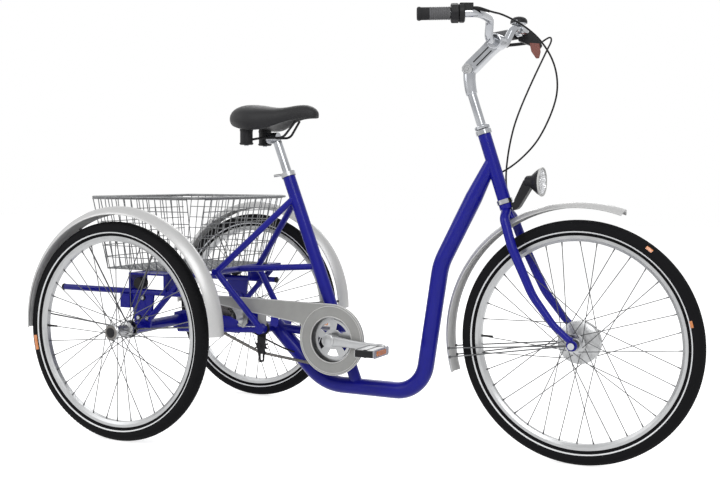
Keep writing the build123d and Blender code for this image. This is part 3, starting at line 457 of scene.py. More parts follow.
def tread_height(around, across):
    """Depth in millimetres cut from the crown: two grooves, and slanted cuts beside and between them."""
    groove_in, groove_out, groove_depth = 4.2, 6.2, 1.3
    side_in, side_out, side_pitch, side_width, side_depth = 7.5, 18.5, 13.0, 3.6, 1.2
    middle_out, middle_pitch, middle_width, middle_depth = 3.2, 26.0, 2.4, 0.8
    depth = np.zeros_like(across)
    off = np.abs(across)
    depth[(off > groove_in) & (off < groove_out)] = groove_depth
    slant = (around + off * 0.55 * np.where(across < 0, -1, 1)) % side_pitch
    depth[(off > side_in) & (off < side_out) & (slant < side_width)] = side_depth
    slant = (around + across * 0.8) % middle_pitch
    depth[(off < middle_out) & (slant < middle_width)] = middle_depth
    return depth


def wall_layer(radius, side, drops, steps, proud, thick):
    """Section of a thin layer on a tyre's side wall, between two drops below the crown."""
    core = TYRE_WIDTH / 2
    face = [(side * (sqrt(core ** 2 - (drop - core) ** 2) + proud), radius - drop)
            for drop in np.linspace(*drops, steps)]
    return face + [(y - side * thick, level) for y, level in face[::-1]]


def swept(outline, centre, start, sweep, steps):
    """Section of y and radius swept round an axle between two angles in degrees, with closed ends."""
    points = []
    for step in range(steps + 1):
        angle = radians(start + sweep * step / steps)
        points += [about(centre, y, level, angle) for y, level in outline]
    return points, bands(steps + 1, len(outline)) + ends(steps + 1, len(outline))


def make_tyre(name, centre, radius, body):
    """Casing with a cut tread and the reflecting stripes; the bead sits in the rim."""
    core = TYRE_WIDTH / 2
    seat = radius - TYRE_HEIGHT
    low = atan2(-(radius - core - seat - 2.0), BEAD_HALF)
    around = np.linspace(0, 2 * pi, TREAD_STEPS, endpoint=False)
    points = []
    for turn in np.linspace(low, pi - low, 44):
        across = np.full(TREAD_STEPS, (pi / 2 - turn) * core)
        reach = core - tread_height(around * radius, across)
        points += [about(centre, part * cos(turn), radius - core + part * sin(turn), angle)
                   for part, angle in zip(reach, around)]
    for y in (-BEAD_HALF, BEAD_HALF):
        points += [about(centre, y, seat - 5.0, angle) for angle in around]
    faces = bands(len(points) // TREAD_STEPS, TREAD_STEPS, closed=True)
    piece(name + "_casing", (points, faces), RUBBER, body, (name,), 30)
    drops = (STRIPE_DROP - STRIPE_WIDTH / 2, STRIPE_DROP + STRIPE_WIDTH / 2)
    rings = []
    for side in (-1, 1):
        profile = wall_layer(radius, side, drops, 5, 0.25, 0.8)
        rings.append(lathe(profile + profile[:1], centre, ACROSS, 180))
    piece(name + "_stripe", merge(*rings), STRIPE, body, angle=30)


def laced(centre, radius, flanges, holes):
    """Crossed spokes with heads and nipples; flanges are distances along the axle, holes their radii."""
    rim_radius = radius - TYRE_HEIGHT - RIM_DEPTH
    middle = sum(flanges) / 2
    spokes, nipples = [], []
    for number in range(SPOKES):
        flange = number % 2
        lean = 1 if (number // 2) % 2 else -1
        outward = 1 if flanges[flange] > middle else -1
        rim_angle = radians(360 * number / SPOKES)
        hub_angle = rim_angle + lean * radians(SPOKE_TURN)
        start = about(centre, flanges[flange] + lean * SPOKE_STEP, holes[flange], hub_angle)
        end = about(centre, outward * 3.0, rim_radius, rim_angle)
        way = (end - start).normalized()
        spokes.append(strut(start, end, SPOKE_RADIUS, sides=7))
        head = start - ACROSS * lean * 2.2 * MM
        spokes.append(strut(start, head, SPOKE_RADIUS, SPOKE_RADIUS * 1.8, 7))
        nipples.append(strut(end - way * NIPPLE_LENGTH * MM, end, 1.5, 2.1, 7))
    return merge(*spokes, *nipples)


def make_wheel(name, centre, radius, shell, flanges, holes, node):
    """Spokes, hub and valve of a wheel, whose name is also its body's."""
    spokes = laced(centre, radius, flanges, holes)
    piece(name + "_spokes", spokes, STEEL_WIRE, name)
    piece(name + "_hub_shell", lathe(shell, centre, ACROSS, 64), ALLOY, name, (node,), 32)
    stem = centre - AHEAD * (radius - TYRE_HEIGHT - RIM_DEPTH) * MM
    piece(name + "_valve", strut(stem, stem + AHEAD * 32 * MM, 3.4, 2.8, 12), BLACK, name)
    dress(ALLOY, node.replace("hub", "rim"))


def patch(centre, radius, side, drops, start, sweep):
    """Plain coloured patch on a tyre's side wall, between two drops below the crown."""
    return swept(wall_layer(radius, side, drops, 7, 0.3, 0.9), centre, start, sweep, 14)


# Hub profiles as distance along the axle and radius; the rear ones count outward from the wheel's middle
FRONT_SHELL = [(-38, 6), (-38, 15), (-36, 17), (-33.5, 17), (-33, 27), (-32, 28), (-30, 28), (-29, 27),
               (-27, 20), (-12, 18.5), (-6, 20), (-2, 40), (1, 52), (4, 57), (8, 58), (26, 58), (29, 57),
               (30, 53), (34, 50), (34, 6)]
REAR_SHELL = [(-44, 9), (-44, 19), (-42, 24), (-41, 25), (-39, 25), (-38, 24), (-35, 16), (-30, 14.5),
              (10, 14.5), (16, 16), (19, 24), (20, 25), (22, 25), (23, 24), (25, 21), (27, 20), (28, 16),
              (28, 9)]
FRONT_FLANGES, FRONT_HOLES = (-31.0, 28.0), (22.0, 52.0)
REAR_FLANGES, REAR_HOLES = (-40.0, 21.0), (21.5, 21.5)
HUB_RING = [(25, 9), (25, 19), (27, 21.5), (29, 20), (29, 9)]
HUB_CAP = [(24.5, 15), (28.5, 15.5), (30.2, 13.5), (31, 8)]


def make_front_wheel():
    """Front wheel with its drum hub and two patches on each side of the tyre."""
    make_tyre("front_tyre", FRONT_AXLE, FRONT_RADIUS, "front_wheel")
    make_wheel("front_wheel", FRONT_AXLE, FRONT_RADIUS, FRONT_SHELL, FRONT_FLANGES, FRONT_HOLES, "front_hub")
    patches = [patch(FRONT_AXLE, FRONT_RADIUS, side, drops, start, 3.4)
               for side in (-1, 1) for drops, start in (((7.0, 15.0), 52.5), ((22.0, 30.0), 12.0))]
    piece("front_wheel_patch", merge(*patches), AMBER, "front_wheel")


def make_rear_wheel(side_name, side):
    """Rear wheel with a ring and a cap on its outer end and a patch on the tyre's outer side."""
    axle = REAR_AXLES[side_name]
    body = "rear_wheel_" + side_name
    make_tyre("rear_tyre_" + side_name, axle, REAR_RADIUS, body)
    shell = [(side * along, radius) for along, radius in REAR_SHELL]
    flanges = [side * along for along in REAR_FLANGES]
    make_wheel(body, axle, REAR_RADIUS, shell, flanges, REAR_HOLES, "rear_hub_" + side_name)
    piece(body + "_hub_ring", lathe(HUB_RING, axle, ACROSS * side, 40), CHAIN_STEEL, body)
    piece(body + "_hub_cap", lathe(HUB_CAP, axle, ACROSS * side, 32), BLACK, body)
    piece(body + "_patch", patch(axle, REAR_RADIUS, side, (14.0, 26.0), 185.5, 8.5), AMBER, body)


make_front_wheel()
for side_name, side in SIDES.items():
    make_rear_wheel(side_name, side)


# Mudguards

def strip(centre, radius, width, crown, start, sweep):
    """Crowned strip with rolled edges, from its start angle above the front horizontal."""
    half, roll = width / 2, 2.2
    section = [(half * share, radius - crown * share ** 2) for share in np.linspace(-1, 1, 17)]
    inner = [(y * (1 - 0.9 / half), level - 1.4) for y, level in section[::-1]]
    edge = [(half + 0.4, radius - crown - roll), (half - 1.4, radius - crown - roll - 1.0)]
    other_edge = [(-y, level) for y, level in edge[::-1]]
    return swept(section + edge + inner[1:-1] + other_edge, centre, start, sweep, 120)


def guard_rods(root, centre, reach, y, angles, start, thick, rivet):
    """Bent rods from a ring on the axle to rivets inside a mudguard's edge."""
    half, radius = rivet
    head = [(-half, radius - 1), (0.5 - half, radius), (half - 0.5, radius), (half, radius - 1)]
    rods = []
    for angle in angles:
        way = Vector((cos(radians(angle)), 0, sin(radians(angle))))
        end = centre + way * reach * MM
        end.y = y * MM
        rods.append(pipe(smooth([root + way * start * MM, root.lerp(end, 0.5), end], 4), thick, 8))
        rods.append(lathe(head, end, ACROSS, 12))
    return rods


def make_rear_guard(side_name, side):
    """Mudguard of a rear wheel on four rods from the axle beam."""
    wheel = REAR_AXLES[side_name]
    wheel_y = wheel.y / MM
    node = "rear_fender_" + side_name
    centre = REAR_GUARD_CENTRE + ACROSS * wheel.y
    shell = strip(centre, REAR_GUARD_RADIUS, REAR_GUARD_WIDTH, REAR_GUARD_CROWN, *REAR_GUARD_ARC)
    piece(node + "_strip", shell, SILVER, "frame", (node,), 30)
    root = wheel - ACROSS * side * 56 * MM
    rods = guard_rods(root, REAR_GUARD_CENTRE, REAR_GUARD_RADIUS - REAR_GUARD_CROWN - 2, wheel_y - side * 30,
                      (4, 68, 122, 176), 20, 2.2, (3, 4.5))
    collar = ring(3, 17.2, 26, root, ACROSS, 40)
    piece(node + "_stays", merge(collar, *rods), STEEL_WIRE, "frame")


def make_front_guard():
    """Mudguard of the front wheel on two rods from each end of its axle."""
    shell = strip(FRONT_AXLE, FRONT_GUARD_RADIUS, FRONT_GUARD_WIDTH, FRONT_GUARD_CROWN, *FRONT_GUARD_ARC)
    piece("front_fender_strip", shell, SILVER, "steering", ("front_fender",), 30)
    rods = []
    for side in SIDES.values():
        root = FRONT_AXLE + ACROSS * side * 54.7 * MM
        rods.append(ring(2, 5.1, 11, root, ACROSS, 24))
        rods += guard_rods(root, FRONT_AXLE, FRONT_GUARD_RADIUS - FRONT_GUARD_CROWN - 2, side * 27.0,
                           (186.0, 190.0), 9, 1.9, (2.5, 4))
    piece("front_fender_stays", merge(*rods), STEEL_WIRE, "steering")


for side_name, side in SIDES.items():
    make_rear_guard(side_name, side)
make_front_guard()


# Basket

BASKET_LOW, BASKET_TOP = 478.0, 696.0
BASKET_BACK, BASKET_FRONT = -175.0, 150.0
BASKET_HALF, RIM_HALF = 200.0, 250.0
RIM_BACK, RIM_FRONT = -200.0, 200.0
BASKET_FLARE = 12.0
WIRE_RADIUS = 1.5
WIRE_LAYER = 2.8
RAIL_Y, RAIL_Z = 252.0, 421.0
RAIL_BACK, RAIL_FRONT = -300.0, 152.0


def grid(corners, columns, rows):
    """Two layers of wires between four corners: low start, low end, top end, top start."""
    low_a, low_b, top_b, top_a = [spot(*corner) for corner in corners]
    lift = (low_b - low_a).cross(top_a - low_a).normalized() * WIRE_LAYER * MM
    wires = []
    for column in range(columns + 1):
        share = column / columns
        wires.append(strut(low_a.lerp(low_b, share), top_a.lerp(top_b, share), WIRE_RADIUS, sides=6))
    for row in range(rows + 1):
        start, end = low_a.lerp(top_a, row / rows), low_b.lerp(top_b, row / rows)
        wires.append(strut(start + lift, end + lift, WIRE_RADIUS, sides=6))
    return merge(*wires)


def make_basket():
    """Tapered walls and floor of crossed wires, with a hoop round the floor."""
    back, front, half, foot, top = BASKET_BACK, BASKET_FRONT, BASKET_HALF, BASKET_LOW + 3, BASKET_TOP
    wide = half + BASKET_FLARE
    walls = [grid([(low, -half, foot), (low, half, foot), (high, wide, top), (high, -wide, top)], 14, 6)
             for low, high in ((back, RIM_BACK), (front, RIM_FRONT))]
    piece("basket_end_wires", merge(*walls), GALVANISED, "frame", ("basket_ends",))
    walls = []
    for y, rim_y in ((-half, -RIM_HALF), (half, RIM_HALF)):
        corners = [(front + BASKET_FLARE, rim_y, top), (back - BASKET_FLARE, rim_y, top)]
        walls.append(grid([(back, y, foot), (front, y, foot), *corners], 12, 6))
    piece("basket_side_wires", merge(*walls), GALVANISED, "frame", ("basket_sides",))
    around = ((back, -half), (front, -half), (front, half), (back, half))
    floor = grid([(x, y, BASKET_LOW + 1.5) for x, y in around], 12, 14)
    hoop = pipe([spot(x, y, foot) for x, y in around], 2.6, 8, closed=True)
    piece("basket_floor_wires", merge(floor, hoop), GALVANISED, "frame", ("basket_floor",))
    dress(GALVANISED, "basket_rim")


def make_hangers():
    """End plugs, rubber mounts, gusset plates and bolts on the rails that carry the basket."""
    plug = [(0, 4), (0, 8.6), (4, 10.4), (7, 9.4), (8, 4)]
    mount = [(-15, 5), (-15, 15), (-12, 17.5), (12, 17.5), (15, 15), (15, 5)]
    washer = [(-1, 3), (-1, 8.5), (1, 8.5), (1, 3)]
    gusset = [(-20, -20), (20, -20), (24, 0), (16, 18), (-16, 18), (-24, 0)]
    rubber, painted, bright = [], [], []
    for side in (-1, 1):
        y = side * RAIL_Y
        rubber.append(lathe(plug, spot(RAIL_BACK, y, RAIL_Z), -AHEAD, 24))
        rubber.append(lathe(plug, spot(RAIL_FRONT, y, RAIL_Z), AHEAD, 24))
        rubber.append(lathe(mount, spot(-5, y, RAIL_Z + 26), ACROSS, 32))
        painted.append(prism(gusset, spot(6, y - side * 6.6, 352), AHEAD, UP, ACROSS, 5.0))
        for x, z in ((-10.0, 344.0), (22.0, 344.0), (6.0, 404.0)):
            bright.append(nut(spot(x, y + side * 7.0, z), ACROSS, 6.5, 5.0))
            rubber.append(lathe(washer, spot(x, y + side * 4.8, z), ACROSS, 24))
    piece("carrier_mounts", merge(*rubber), BLACK, "frame")
    piece("carrier_gussets", merge(*painted), BLUE, "frame", bevel=0.8)
    piece("carrier_bolts", merge(*bright), ALLOY, "frame")


make_basket()
make_hangers()


# Chains and drive

def wrap(wheels):
    """Line of a chain round wheels given clockwise, each as x, z and pitch radius in millimetres."""
    runs = []
    for i in range(len(wheels)):
        (x0, z0, r0), (x1, z1, r1) = wheels[i], wheels[(i + 1) % len(wheels)]
        length = sqrt((x1 - x0) ** 2 + (z1 - z0) ** 2)
        ux, uz = (x1 - x0) / length, (z1 - z0) / length
        lean = (r0 - r1) / length
        rise = sqrt(1 - lean ** 2)
        nx, nz = ux * lean - uz * rise, uz * lean + ux * rise
        runs.append(((x0 + nx * r0, z0 + nz * r0), (x1 + nx * r1, z1 + nz * r1)))
    line = []
    for i, (start, end) in enumerate(runs):
        line += [start, end]
        x, z, r = wheels[(i + 1) % len(wheels)]
        first = atan2(end[1] - z, end[0] - x)
        after = runs[(i + 1) % len(runs)][0]
        last = atan2(after[1] - z, after[0] - x)
        while last > first:
            last -= 2 * pi
        steps = max(2, int((first - last) / radians(3)))
        for k in range(1, steps):
            angle = first + (last - first) * k / steps
            line.append((x + r * cos(angle), z + r * sin(angle)))
    return line


def link_shape(half_pitch, outer):
    """Two side plates with their pins or rollers, along x about the middle of a link."""
    lobe, waist = 4.1, 3.1
    outline = arc(lobe, range(-75, 76, 25), (half_pitch, 0)) + [(0, waist)]
    outline += arc(lobe, range(105, 256, 25), (-half_pitch, 0)) + [(0, -waist)]
    offset = 3.4 if outer else 2.3
    half, radius, sides = (4.6, 1.8, 8) if outer else (1.8, 3.7, 10)
    parts = [prism(outline, ACROSS * way * offset * MM, AHEAD, UP, ACROSS, 1.0) for way in (-1, 1)]
    for end in (-1, 1):
        parts.append(lathe([(-half, radius), (half, radius)], AHEAD * end * half_pitch * MM, ACROSS, sides))
    return merge(*parts)


def make_chain(name, wheels, y, node):
    """Closed chain of an even number of links round its wheels, in a plane at y."""
    line = np.array(wrap(wheels) + wrap(wheels)[:1])
    steps = np.hypot(*np.diff(line, axis=0).T)
    total = steps.sum()
    count = int(round(total / CHAIN_PITCH / 2)) * 2
    places = np.concatenate([[0], np.cumsum(steps)])
    marks = np.arange(count) * total / count
    xs, zs = np.interp(marks, places, line[:, 0]), np.interp(marks, places, line[:, 1])
    links = []
    for i in range(count):
        x0, z0, x1, z1 = xs[i], zs[i], xs[(i + 1) % count], zs[(i + 1) % count]
        shape = link_shape(sqrt((x1 - x0) ** 2 + (z1 - z0) ** 2) / 2, i % 2)
        turn = Matrix.Rotation(-atan2(z1 - z0, x1 - x0), 4, "Y")
        links.append(moved(shape, Matrix.Translation(spot((x0 + x1) / 2, y, (z0 + z1) / 2)) @ turn))
    piece(name, merge(*links), CHAIN_STEEL, "frame", (node,), 40)


def pitch_radius(teeth):
    """Radius in millimetres at which a toothed wheel carries the chain's pins."""
    return CHAIN_PITCH / (2 * sin(pi / teeth))


def drawn(place):
    """x and z of a place, in millimetres from the rear axle's ground point."""
    return (place.x - REAR_X) / MM, place.z / MM


PULLEY = (287.0, 252.0)
CHAINRING_TEETH, SPROCKET_TEETH, AXLE_TEETH, PULLEY_TEETH = 42, 19, 18, 10
MAIN_CHAIN_Y, AXLE_CHAIN_Y = -48.0, 34.0
GUARD_FACE = -66.0
GUARD_DISC = 103.0
GUARD_OPENING = 66.0
GUARD_DEPTH = 12.0
GUARD_WALL = 2.0
PEDAL_MIDDLE = 141.0
PEDAL_LENGTH = 96.0
PEDAL_WIDTH = 57.0


def make_guard():
    """Grey moulded chain guard: disc with a round opening, slim arm to the rear and light rolled edges."""
    crank = drawn(CRANK_AXLE)
    # the arm's upper edge, the disc, and the arm's lower edge back to the rear end
    outer = [(66.0, 398.0), (240.0, 397.0), (420.0, 395.5)] + arc(GUARD_DISC, range(90, -201, -5), crank)
    outer += [(433.0, 333.4), (331.0, 347.7), (222.0, 360.6), (152.6, 371.3), (70.0, 380.0), (66.0, 384.0)]
    hole = arc(GUARD_OPENING, range(0, 360, 5), crank)
    face = cut_plate([outer, hole], spot, (GUARD_FACE, GUARD_FACE + 1.8))
    inner = []
    for i, (x, z) in enumerate(outer):
        before, after = outer[i - 1], outer[(i + 1) % len(outer)]
        way = Vector((after[0] - before[0], after[1] - before[1])).normalized()
        inner.append((x + way.y * GUARD_WALL, z - way.x * GUARD_WALL))
    rows = ((outer, 1), (outer, GUARD_DEPTH), (inner, GUARD_DEPTH), (inner, 1))
    wall = [spot(x, GUARD_FACE + depth, z) for loop, depth in rows for x, z in loop]
    tab = block(spot(300.0, GUARD_FACE + 2.5, 333.0), (28, 4, 44))
    shell = merge(face, (wall, bands(4, len(outer), closed=True)), tab)
    piece("chain_guard_shell", shell, GUARD, "frame", ("chain_guard",), 35)
    rolls = [pipe([spot(x, GUARD_FACE + 0.8, z) for x, z in outer], 1.9, 8, closed=True)]
    for radius, half in ((GUARD_DISC - 5, 1.5), (GUARD_OPENING + 1.5, 1.8)):
        circle = [about(CRANK_AXLE, GUARD_FACE - 0.6, radius, radians(angle)) for angle in range(0, 360, 4)]
        rolls.append(pipe(circle, half, 8, closed=True))
    piece("chain_guard_edges", merge(*rolls), GUARD_EDGE, "frame")
    tab = [(-14, 10), (12, 10), (14, 6), (13, -14), (8, -18), (-12, -16), (-14, -10)]
    tab = prism(tab, spot(346.0, GUARD_FACE - 1.4, 334.0), (1, 0, -0.12), (0.12, 0, 1), ACROSS, 2.0)
    piece("chain_guard_tab", tab, BLUE, "frame", bevel=0.6)


def make_chainring_web():
    """Silver disc inside the toothed ring, with five windows."""
    loops = [arc(58, range(0, 360, 4))]
    for arm in range(5):
        middle = 72 * arm + 54
        window = arc(50, range(middle - 23, middle + 24, 4)) + arc(30, range(middle + 19, middle - 20, -6))
        loops.append(window)
    web = cut_plate(loops, lambda x, y, z: CRANK_AXLE + Vector((x, y, z)) * MM, (-53.5, -51.0))
    piece("chainring_web", web, ALLOY, "crank", angle=35)


def crank_arm(eye, side):
    """Tapered arm with rounded faces, from behind the crank axle to beyond the pedal's eye."""
    way = Vector((eye.x - CRANK_AXLE.x, 0, eye.z - CRANK_AXLE.z))
    length = way.length / MM
    way.normalize()
    up = Vector((-way.z, 0, way.x))
    middle = CRANK_AXLE + ACROSS * side * 79.0 * MM
    # distance along the arm, half height and thickness
    sections = ((-19, 5, 10), (-17, 11, 13), (-10, 17, 15), (2, 18, 15.5), (18, 15, 13.5), (40, 13.5, 12.5),
                (length - 40, 11, 12), (length - 16, 12, 12), (length, 13.5, 13), (length + 8, 11, 12),
                (length + 13, 5, 9))
    points, sides = [], 16
    for along, half, thick in sections:
        for step in range(sides):
            angle = 2 * pi * step / sides
            rise, depth = half * pressed(cos(angle), 0.7), thick / 2 * pressed(sin(angle), 0.6)
            points.append(middle + (way * along + up * rise + ACROSS * depth) * MM)
    return points, bands(len(sections), sides) + ends(len(sections), sides)


def make_cranks():
    """Both arms with their bosses and the spindle between them."""
    boss = [(68, 8), (68, 18), (70, 19.5), (87, 19.5), (89, 17), (89, 8)]
    cap = [(87, 13), (90, 12.5), (91, 10), (91, 3)]
    parts, caps = [], []
    for side, pedal in ((1, "pedal_left_spin"), (-1, "pedal_right_spin")):
        parts.append(crank_arm(JOINTS[pedal], side))
        parts.append(lathe(boss, CRANK_AXLE, ACROSS * side, 40))
        caps.append(lathe(cap, CRANK_AXLE, ACROSS * side, 32))
    parts.append(strut(CRANK_AXLE - ACROSS * 75 * MM, CRANK_AXLE + ACROSS * 75 * MM, 8.5, sides=24))
    parts.append(lathe([(-68, 8), (-68, 13), (-39, 13), (-39, 8)], CRANK_AXLE, ACROSS, 32))
    piece("crank_arms", merge(*parts), ALLOY, "crank", ("crankset",), 50)
    piece("crank_caps", merge(*caps), ALLOY, "crank")


def make_pedal(name, eye, side):
    """Two toothed cage plates between moulded ends, with a reflector let into each plate."""
    middle = Vector((eye.x, side * PEDAL_MIDDLE * MM, eye.z))
    half = PEDAL_LENGTH / 2
    outline = [(-half, -9), (-half, 9)]
    for tooth in range(12):
        start = -half + 4 + tooth * (PEDAL_LENGTH - 8) / 12
        outline += [(start, 9), (start + 2.2, 12.4), (start + 5.0, 12.4)]
    outline += [(half, 9), (half, -9)]
    outline += [(y, -z) for y, z in outline[-3:1:-1]]
    lens = [(-26, -7), (-28, -5), (-28, 5), (-26, 7), (26, 7), (28, 5), (28, -5), (26, -7)]
    cage, lenses = [], []
    for way in (-1, 1):
        face = middle + AHEAD * way * PEDAL_WIDTH / 2 * MM
        cage.append(prism(outline, face, ACROSS, UP, AHEAD, 2.0))
        lenses.append(prism(lens, face + AHEAD * way * 1.6 * MM, ACROSS, UP, AHEAD, 2.8))
    for z in (-8.5, 8.5):
        cage.append(block(middle + UP * z * MM, (PEDAL_WIDTH, PEDAL_LENGTH - 2, 1.6)))
    piece(name + "_cage", merge(*cage), ALLOY, name, (name,), 35)
    body = [block(middle + ACROSS * y * MM, (PEDAL_WIDTH + 1, 9, 19)) for y in (-half + 4.5, half - 4.5)]
    barrel = [(4 - half, 9), (6 - half, 12), (16 - half, 10), (half - 16, 10), (half - 6, 12), (half - 4, 9)]
    body.append(lathe(barrel, middle, ACROSS, 28))
    body.append(strut(Vector((eye.x, side * 73 * MM, eye.z)), middle, 6.0, 5.0, 18))
    piece(name + "_body", merge(*body), BLACK, name, bevel=1.4)
    piece(name + "_reflectors", merge(*lenses), AMBER, name, bevel=0.5)


make_chain("main_chain_links", [(*drawn(HUB_AXLE), pitch_radius(SPROCKET_TEETH)),
                                (*drawn(CRANK_AXLE), pitch_radius(CHAINRING_TEETH)),
                                (*PULLEY, pitch_radius(PULLEY_TEETH))], MAIN_CHAIN_Y, "chain")
make_chain("axle_chain_links", [(0.0, REAR_RADIUS, pitch_radius(AXLE_TEETH)),
                                (*drawn(HUB_AXLE), pitch_radius(AXLE_TEETH))], AXLE_CHAIN_Y, "axle_chain")
make_guard()
make_chainring_web()
make_cranks()
for side_name, side in SIDES.items():
    make_pedal("pedal_" + side_name, JOINTS["pedal_" + side_name + "_spin"], side)
dress(ALLOY, "chainring", "gear_hub", "seat_clamp")
dress(CHAIN_STEEL, "drive_sprocket")
dress(BLACK, "chain_tensioner")
dress(BLUE, "head_tube", "main_tube", "bottom_bracket", "seat_tube", "rear_lug", "stay_bridge", "rear_stays",
      "axle_beam", "carrier_left", "carrier_right", "fork")
dress(CHROME, "headset_cups", "seat_post", "stem", "handlebar", "front_axle", "hub_axle", "axle_shaft")


# Saddle

def make_saddle():
    """Padded shell lofted from cross sections that dip along the middle of its underside."""
    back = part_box("saddle")[0].x
    # distance ahead of the back, half width, top, crown drop at the side, height of the lower edge
    sections = ((-9, 36, 950, 4, 918), (-3, 68, 965, 8, 904), (18, 90, 978, 12, 892),
                (46, 102, 983, 15, 883), (80, 104, 980, 15, 880), (112, 88, 974, 13, 884),
                (142, 62, 970, 11, 898), (170, 44, 972, 10, 911), (200, 34, 977, 9, 921),
                (230, 30, 978, 9, 924), (252, 24, 971, 8, 925), (268, 13, 957, 6, 931))
    steps = 28
    points = []
    for ahead, half, top, drop, bottom in sections:
        for step in range(steps):
            angle = 2 * pi * step / steps
            y = half * pressed(cos(angle), 0.75)
            z = (top + bottom) / 2 + (top - bottom) / 2 * pressed(sin(angle), 0.7)
            if sin(angle) > 0:
                z -= drop * (y / half) ** 2 * 0.4
            else:
                y *= 0.93
                z -= min(30.0, 0.42 * (top - bottom)) * (1 - (y / half) ** 2) * sin(angle)
            points.append(Vector((back + ahead * MM, y * MM, z * MM)))
    faces = bands(len(sections), steps) + ends(len(sections), steps)
    pad = piece("saddle_pad", (points, faces), COVER, "frame", ("saddle",), 60, rounds=2)


def make_saddle_springs():
    """Two coil springs over dampers, with their cups and nuts, under the back of the saddle."""
    damper = [(-3, 4), (-3, 18), (0, 21), (3, 21), (5, 12), (36, 11), (38, 20), (44, 20), (44, 4)]
    coils, cores, bolts = [], [], []
    for side in (-1, 1):
        foot = spot(238, side * 52, 862)
        turns = [foot + Vector((15.5 * cos(a), 15.5 * sin(a), 2 + 5.6 * a)) * MM
                 for a in np.arange(0, 2 * pi * 1.15, 0.22)]
        coils.append(pipe(turns, 2.4, 8))
        cores.append(lathe(damper, foot, UP, 32))
        bolts.append(nut(foot - UP * 4.5 * MM, UP, 6.5, 4.0))
    piece("saddle_spring_coils", merge(*coils), BLACK, "frame")
    piece("saddle_spring_cups", merge(*cores), BLACK, "frame")
    piece("saddle_bolts", merge(*bolts), CHROME, "frame")


make_saddle()
make_saddle_springs()
dress(BLACK, "saddle_frame")


# Handlebar fittings

HEAD_LOW = spot(1037.0, 0.0, 703.0)
STEER_UP = STEERING_AXIS if STEERING_AXIS.z > 0 else -STEERING_AXIS
STEER_AHEAD = Vector((STEER_UP.z, 0, -STEER_UP.x))
LENS_MIDDLE = spot(1142.0, 0.0, 752.0)
STEM_FOOT, STEM_KNEE = spot(974.1, 0, 891.7), spot(937.5, 0, 1001.4)
STEM_PIVOT, BAR_CLAMP = spot(933, 0, 1059), spot(1011, 0, 1129)
BAR_BORE = 11.5
BAR_WAYS = {side: (spot(1031.0, side * 195.0, 1179.0) - spot(896.0, side * 262.0, 1176.0)).normalized()
            for side in (-1, 1)}


def on_grip(side, from_tip):
    """A place on the bar's straight end, in millimetres from its tip."""
    return spot(896.0, side * 262.0, 1176.0) + BAR_WAYS[side] * from_tip * MM


def sleeve(side, profile, steps=40):
    """Turned tube on the bar's straight end; its bore clears the bar."""
    inside = [(profile[-1][0], BAR_BORE), (profile[0][0], BAR_BORE)]
    return lathe(list(profile) + inside + [profile[0]], on_grip(side, 0), BAR_WAYS[side], steps)


def ribbed(start, end, radius):
    """Profile of a grip with ring grooves."""
    profile = [(start, radius - 1.5), (start + 1, radius)]
    for along in np.arange(start + 4, end - 4, 4.6):
        profile += [(along, radius), (along + 0.6, radius - 1.1)]
        profile += [(along + 1.8, radius - 1.1), (along + 2.4, radius)]
    return profile + [(end - 1, radius), (end, radius - 1.5)]


def make_stem():
    """Adjustable stem: tube, elbow, knobs and a slotted arm that ends in the bar clamp; the slots are painted
    shade, thin black plates on the arm's faces.
    """
    along = (BAR_CLAMP - STEM_PIVOT).normalized()
    across = Vector((-along.z, 0, along.x))
    rise = STEM_KNEE - STEM_FOOT
    low = STEM_FOOT + rise * 0.02
    bend = STEM_KNEE.lerp(STEM_PIVOT, 0.5) - AHEAD * 2 * MM
    elbow = smooth([STEM_KNEE - rise.normalized() * 12 * MM, STEM_KNEE, bend, STEM_PIVOT], 6)
    collar = [(0, 13), (0, 20), (2, 21), (9, 21), (12, 18), (12, 13)]
    arm = [(-16, -8), (-16, 8), (-9, 16), (8, 18.5), (70, 18), (96, 20), (112, 17),
           (120, 8), (120, -8), (112, -17), (96, -20), (70, -18), (8, -18.5), (-9, -16)]
    drum = [(-25, 12), (-25, 19), (-23, 21), (23, 21), (25, 19), (25, 12)]
    body = merge(strut(low, STEM_KNEE, 12.6, sides=32), lathe(collar, low, rise, 40),
                 pipe(elbow, list(np.linspace(15.5, 17.5, len(elbow))), 28),
                 prism(arm, STEM_PIVOT, along, across, ACROSS, 30.0), lathe(drum, BAR_CLAMP, ACROSS, 48))
    piece("stem_body", body, CHROME, "steering", ("stem",), 35, bevel=1.5)
    knob = [(14, 4), (14, 14), (19, 14.5), (21, 12.5), (21, 10), (19.5, 9), (19.5, 5), (21, 4)]
    knobs, slot_shades = [], []
    for way in (-1, 1):
        knobs.append(lathe(knob, STEM_PIVOT, ACROSS * way, 36))
        # painted shade: each slot is a thin black plate on the arm's face, where the opening would be dark
        for up in (2.0, -11.5):
            slot_shade = [(24, up - 1.6), (24, up + 1.6), (82, up + 1.6), (82, up - 1.6)]
            slot_shades.append(prism(slot_shade, STEM_PIVOT + ACROSS * way * 15.1 * MM, along, across, ACROSS, 0.8))
    piece("stem_knobs", merge(*knobs), ALLOY, "steering", angle=35)
    piece("stem_slot_shades", merge(*slot_shades), BLACK, "steering", angle=35)


def make_grips():
    """Ribbed grips, each with a plain cap on the bar's tip."""
    cap = [(-5, 3), (-5, 14), (-3, 17), (0, 17.6), (3, 17.6), (5, 16.2), (26, 16.0),
           (26, BAR_BORE), (-1, BAR_BORE), (-1, 3)]
    for side, name, end in ((-1, "grip_right", 80.0), (1, "grip_left", 96.0)):
        tip = lathe(cap, on_grip(side, 0), BAR_WAYS[side], 40)
        piece(name + "_end", tip, GRIP_BLACK, "steering")
        grip = sleeve(side, ribbed(26.2, end - 0.5, 16.5))
        piece(name + "_sleeve", grip, GRIP_GREY, "steering", (name,), 25)


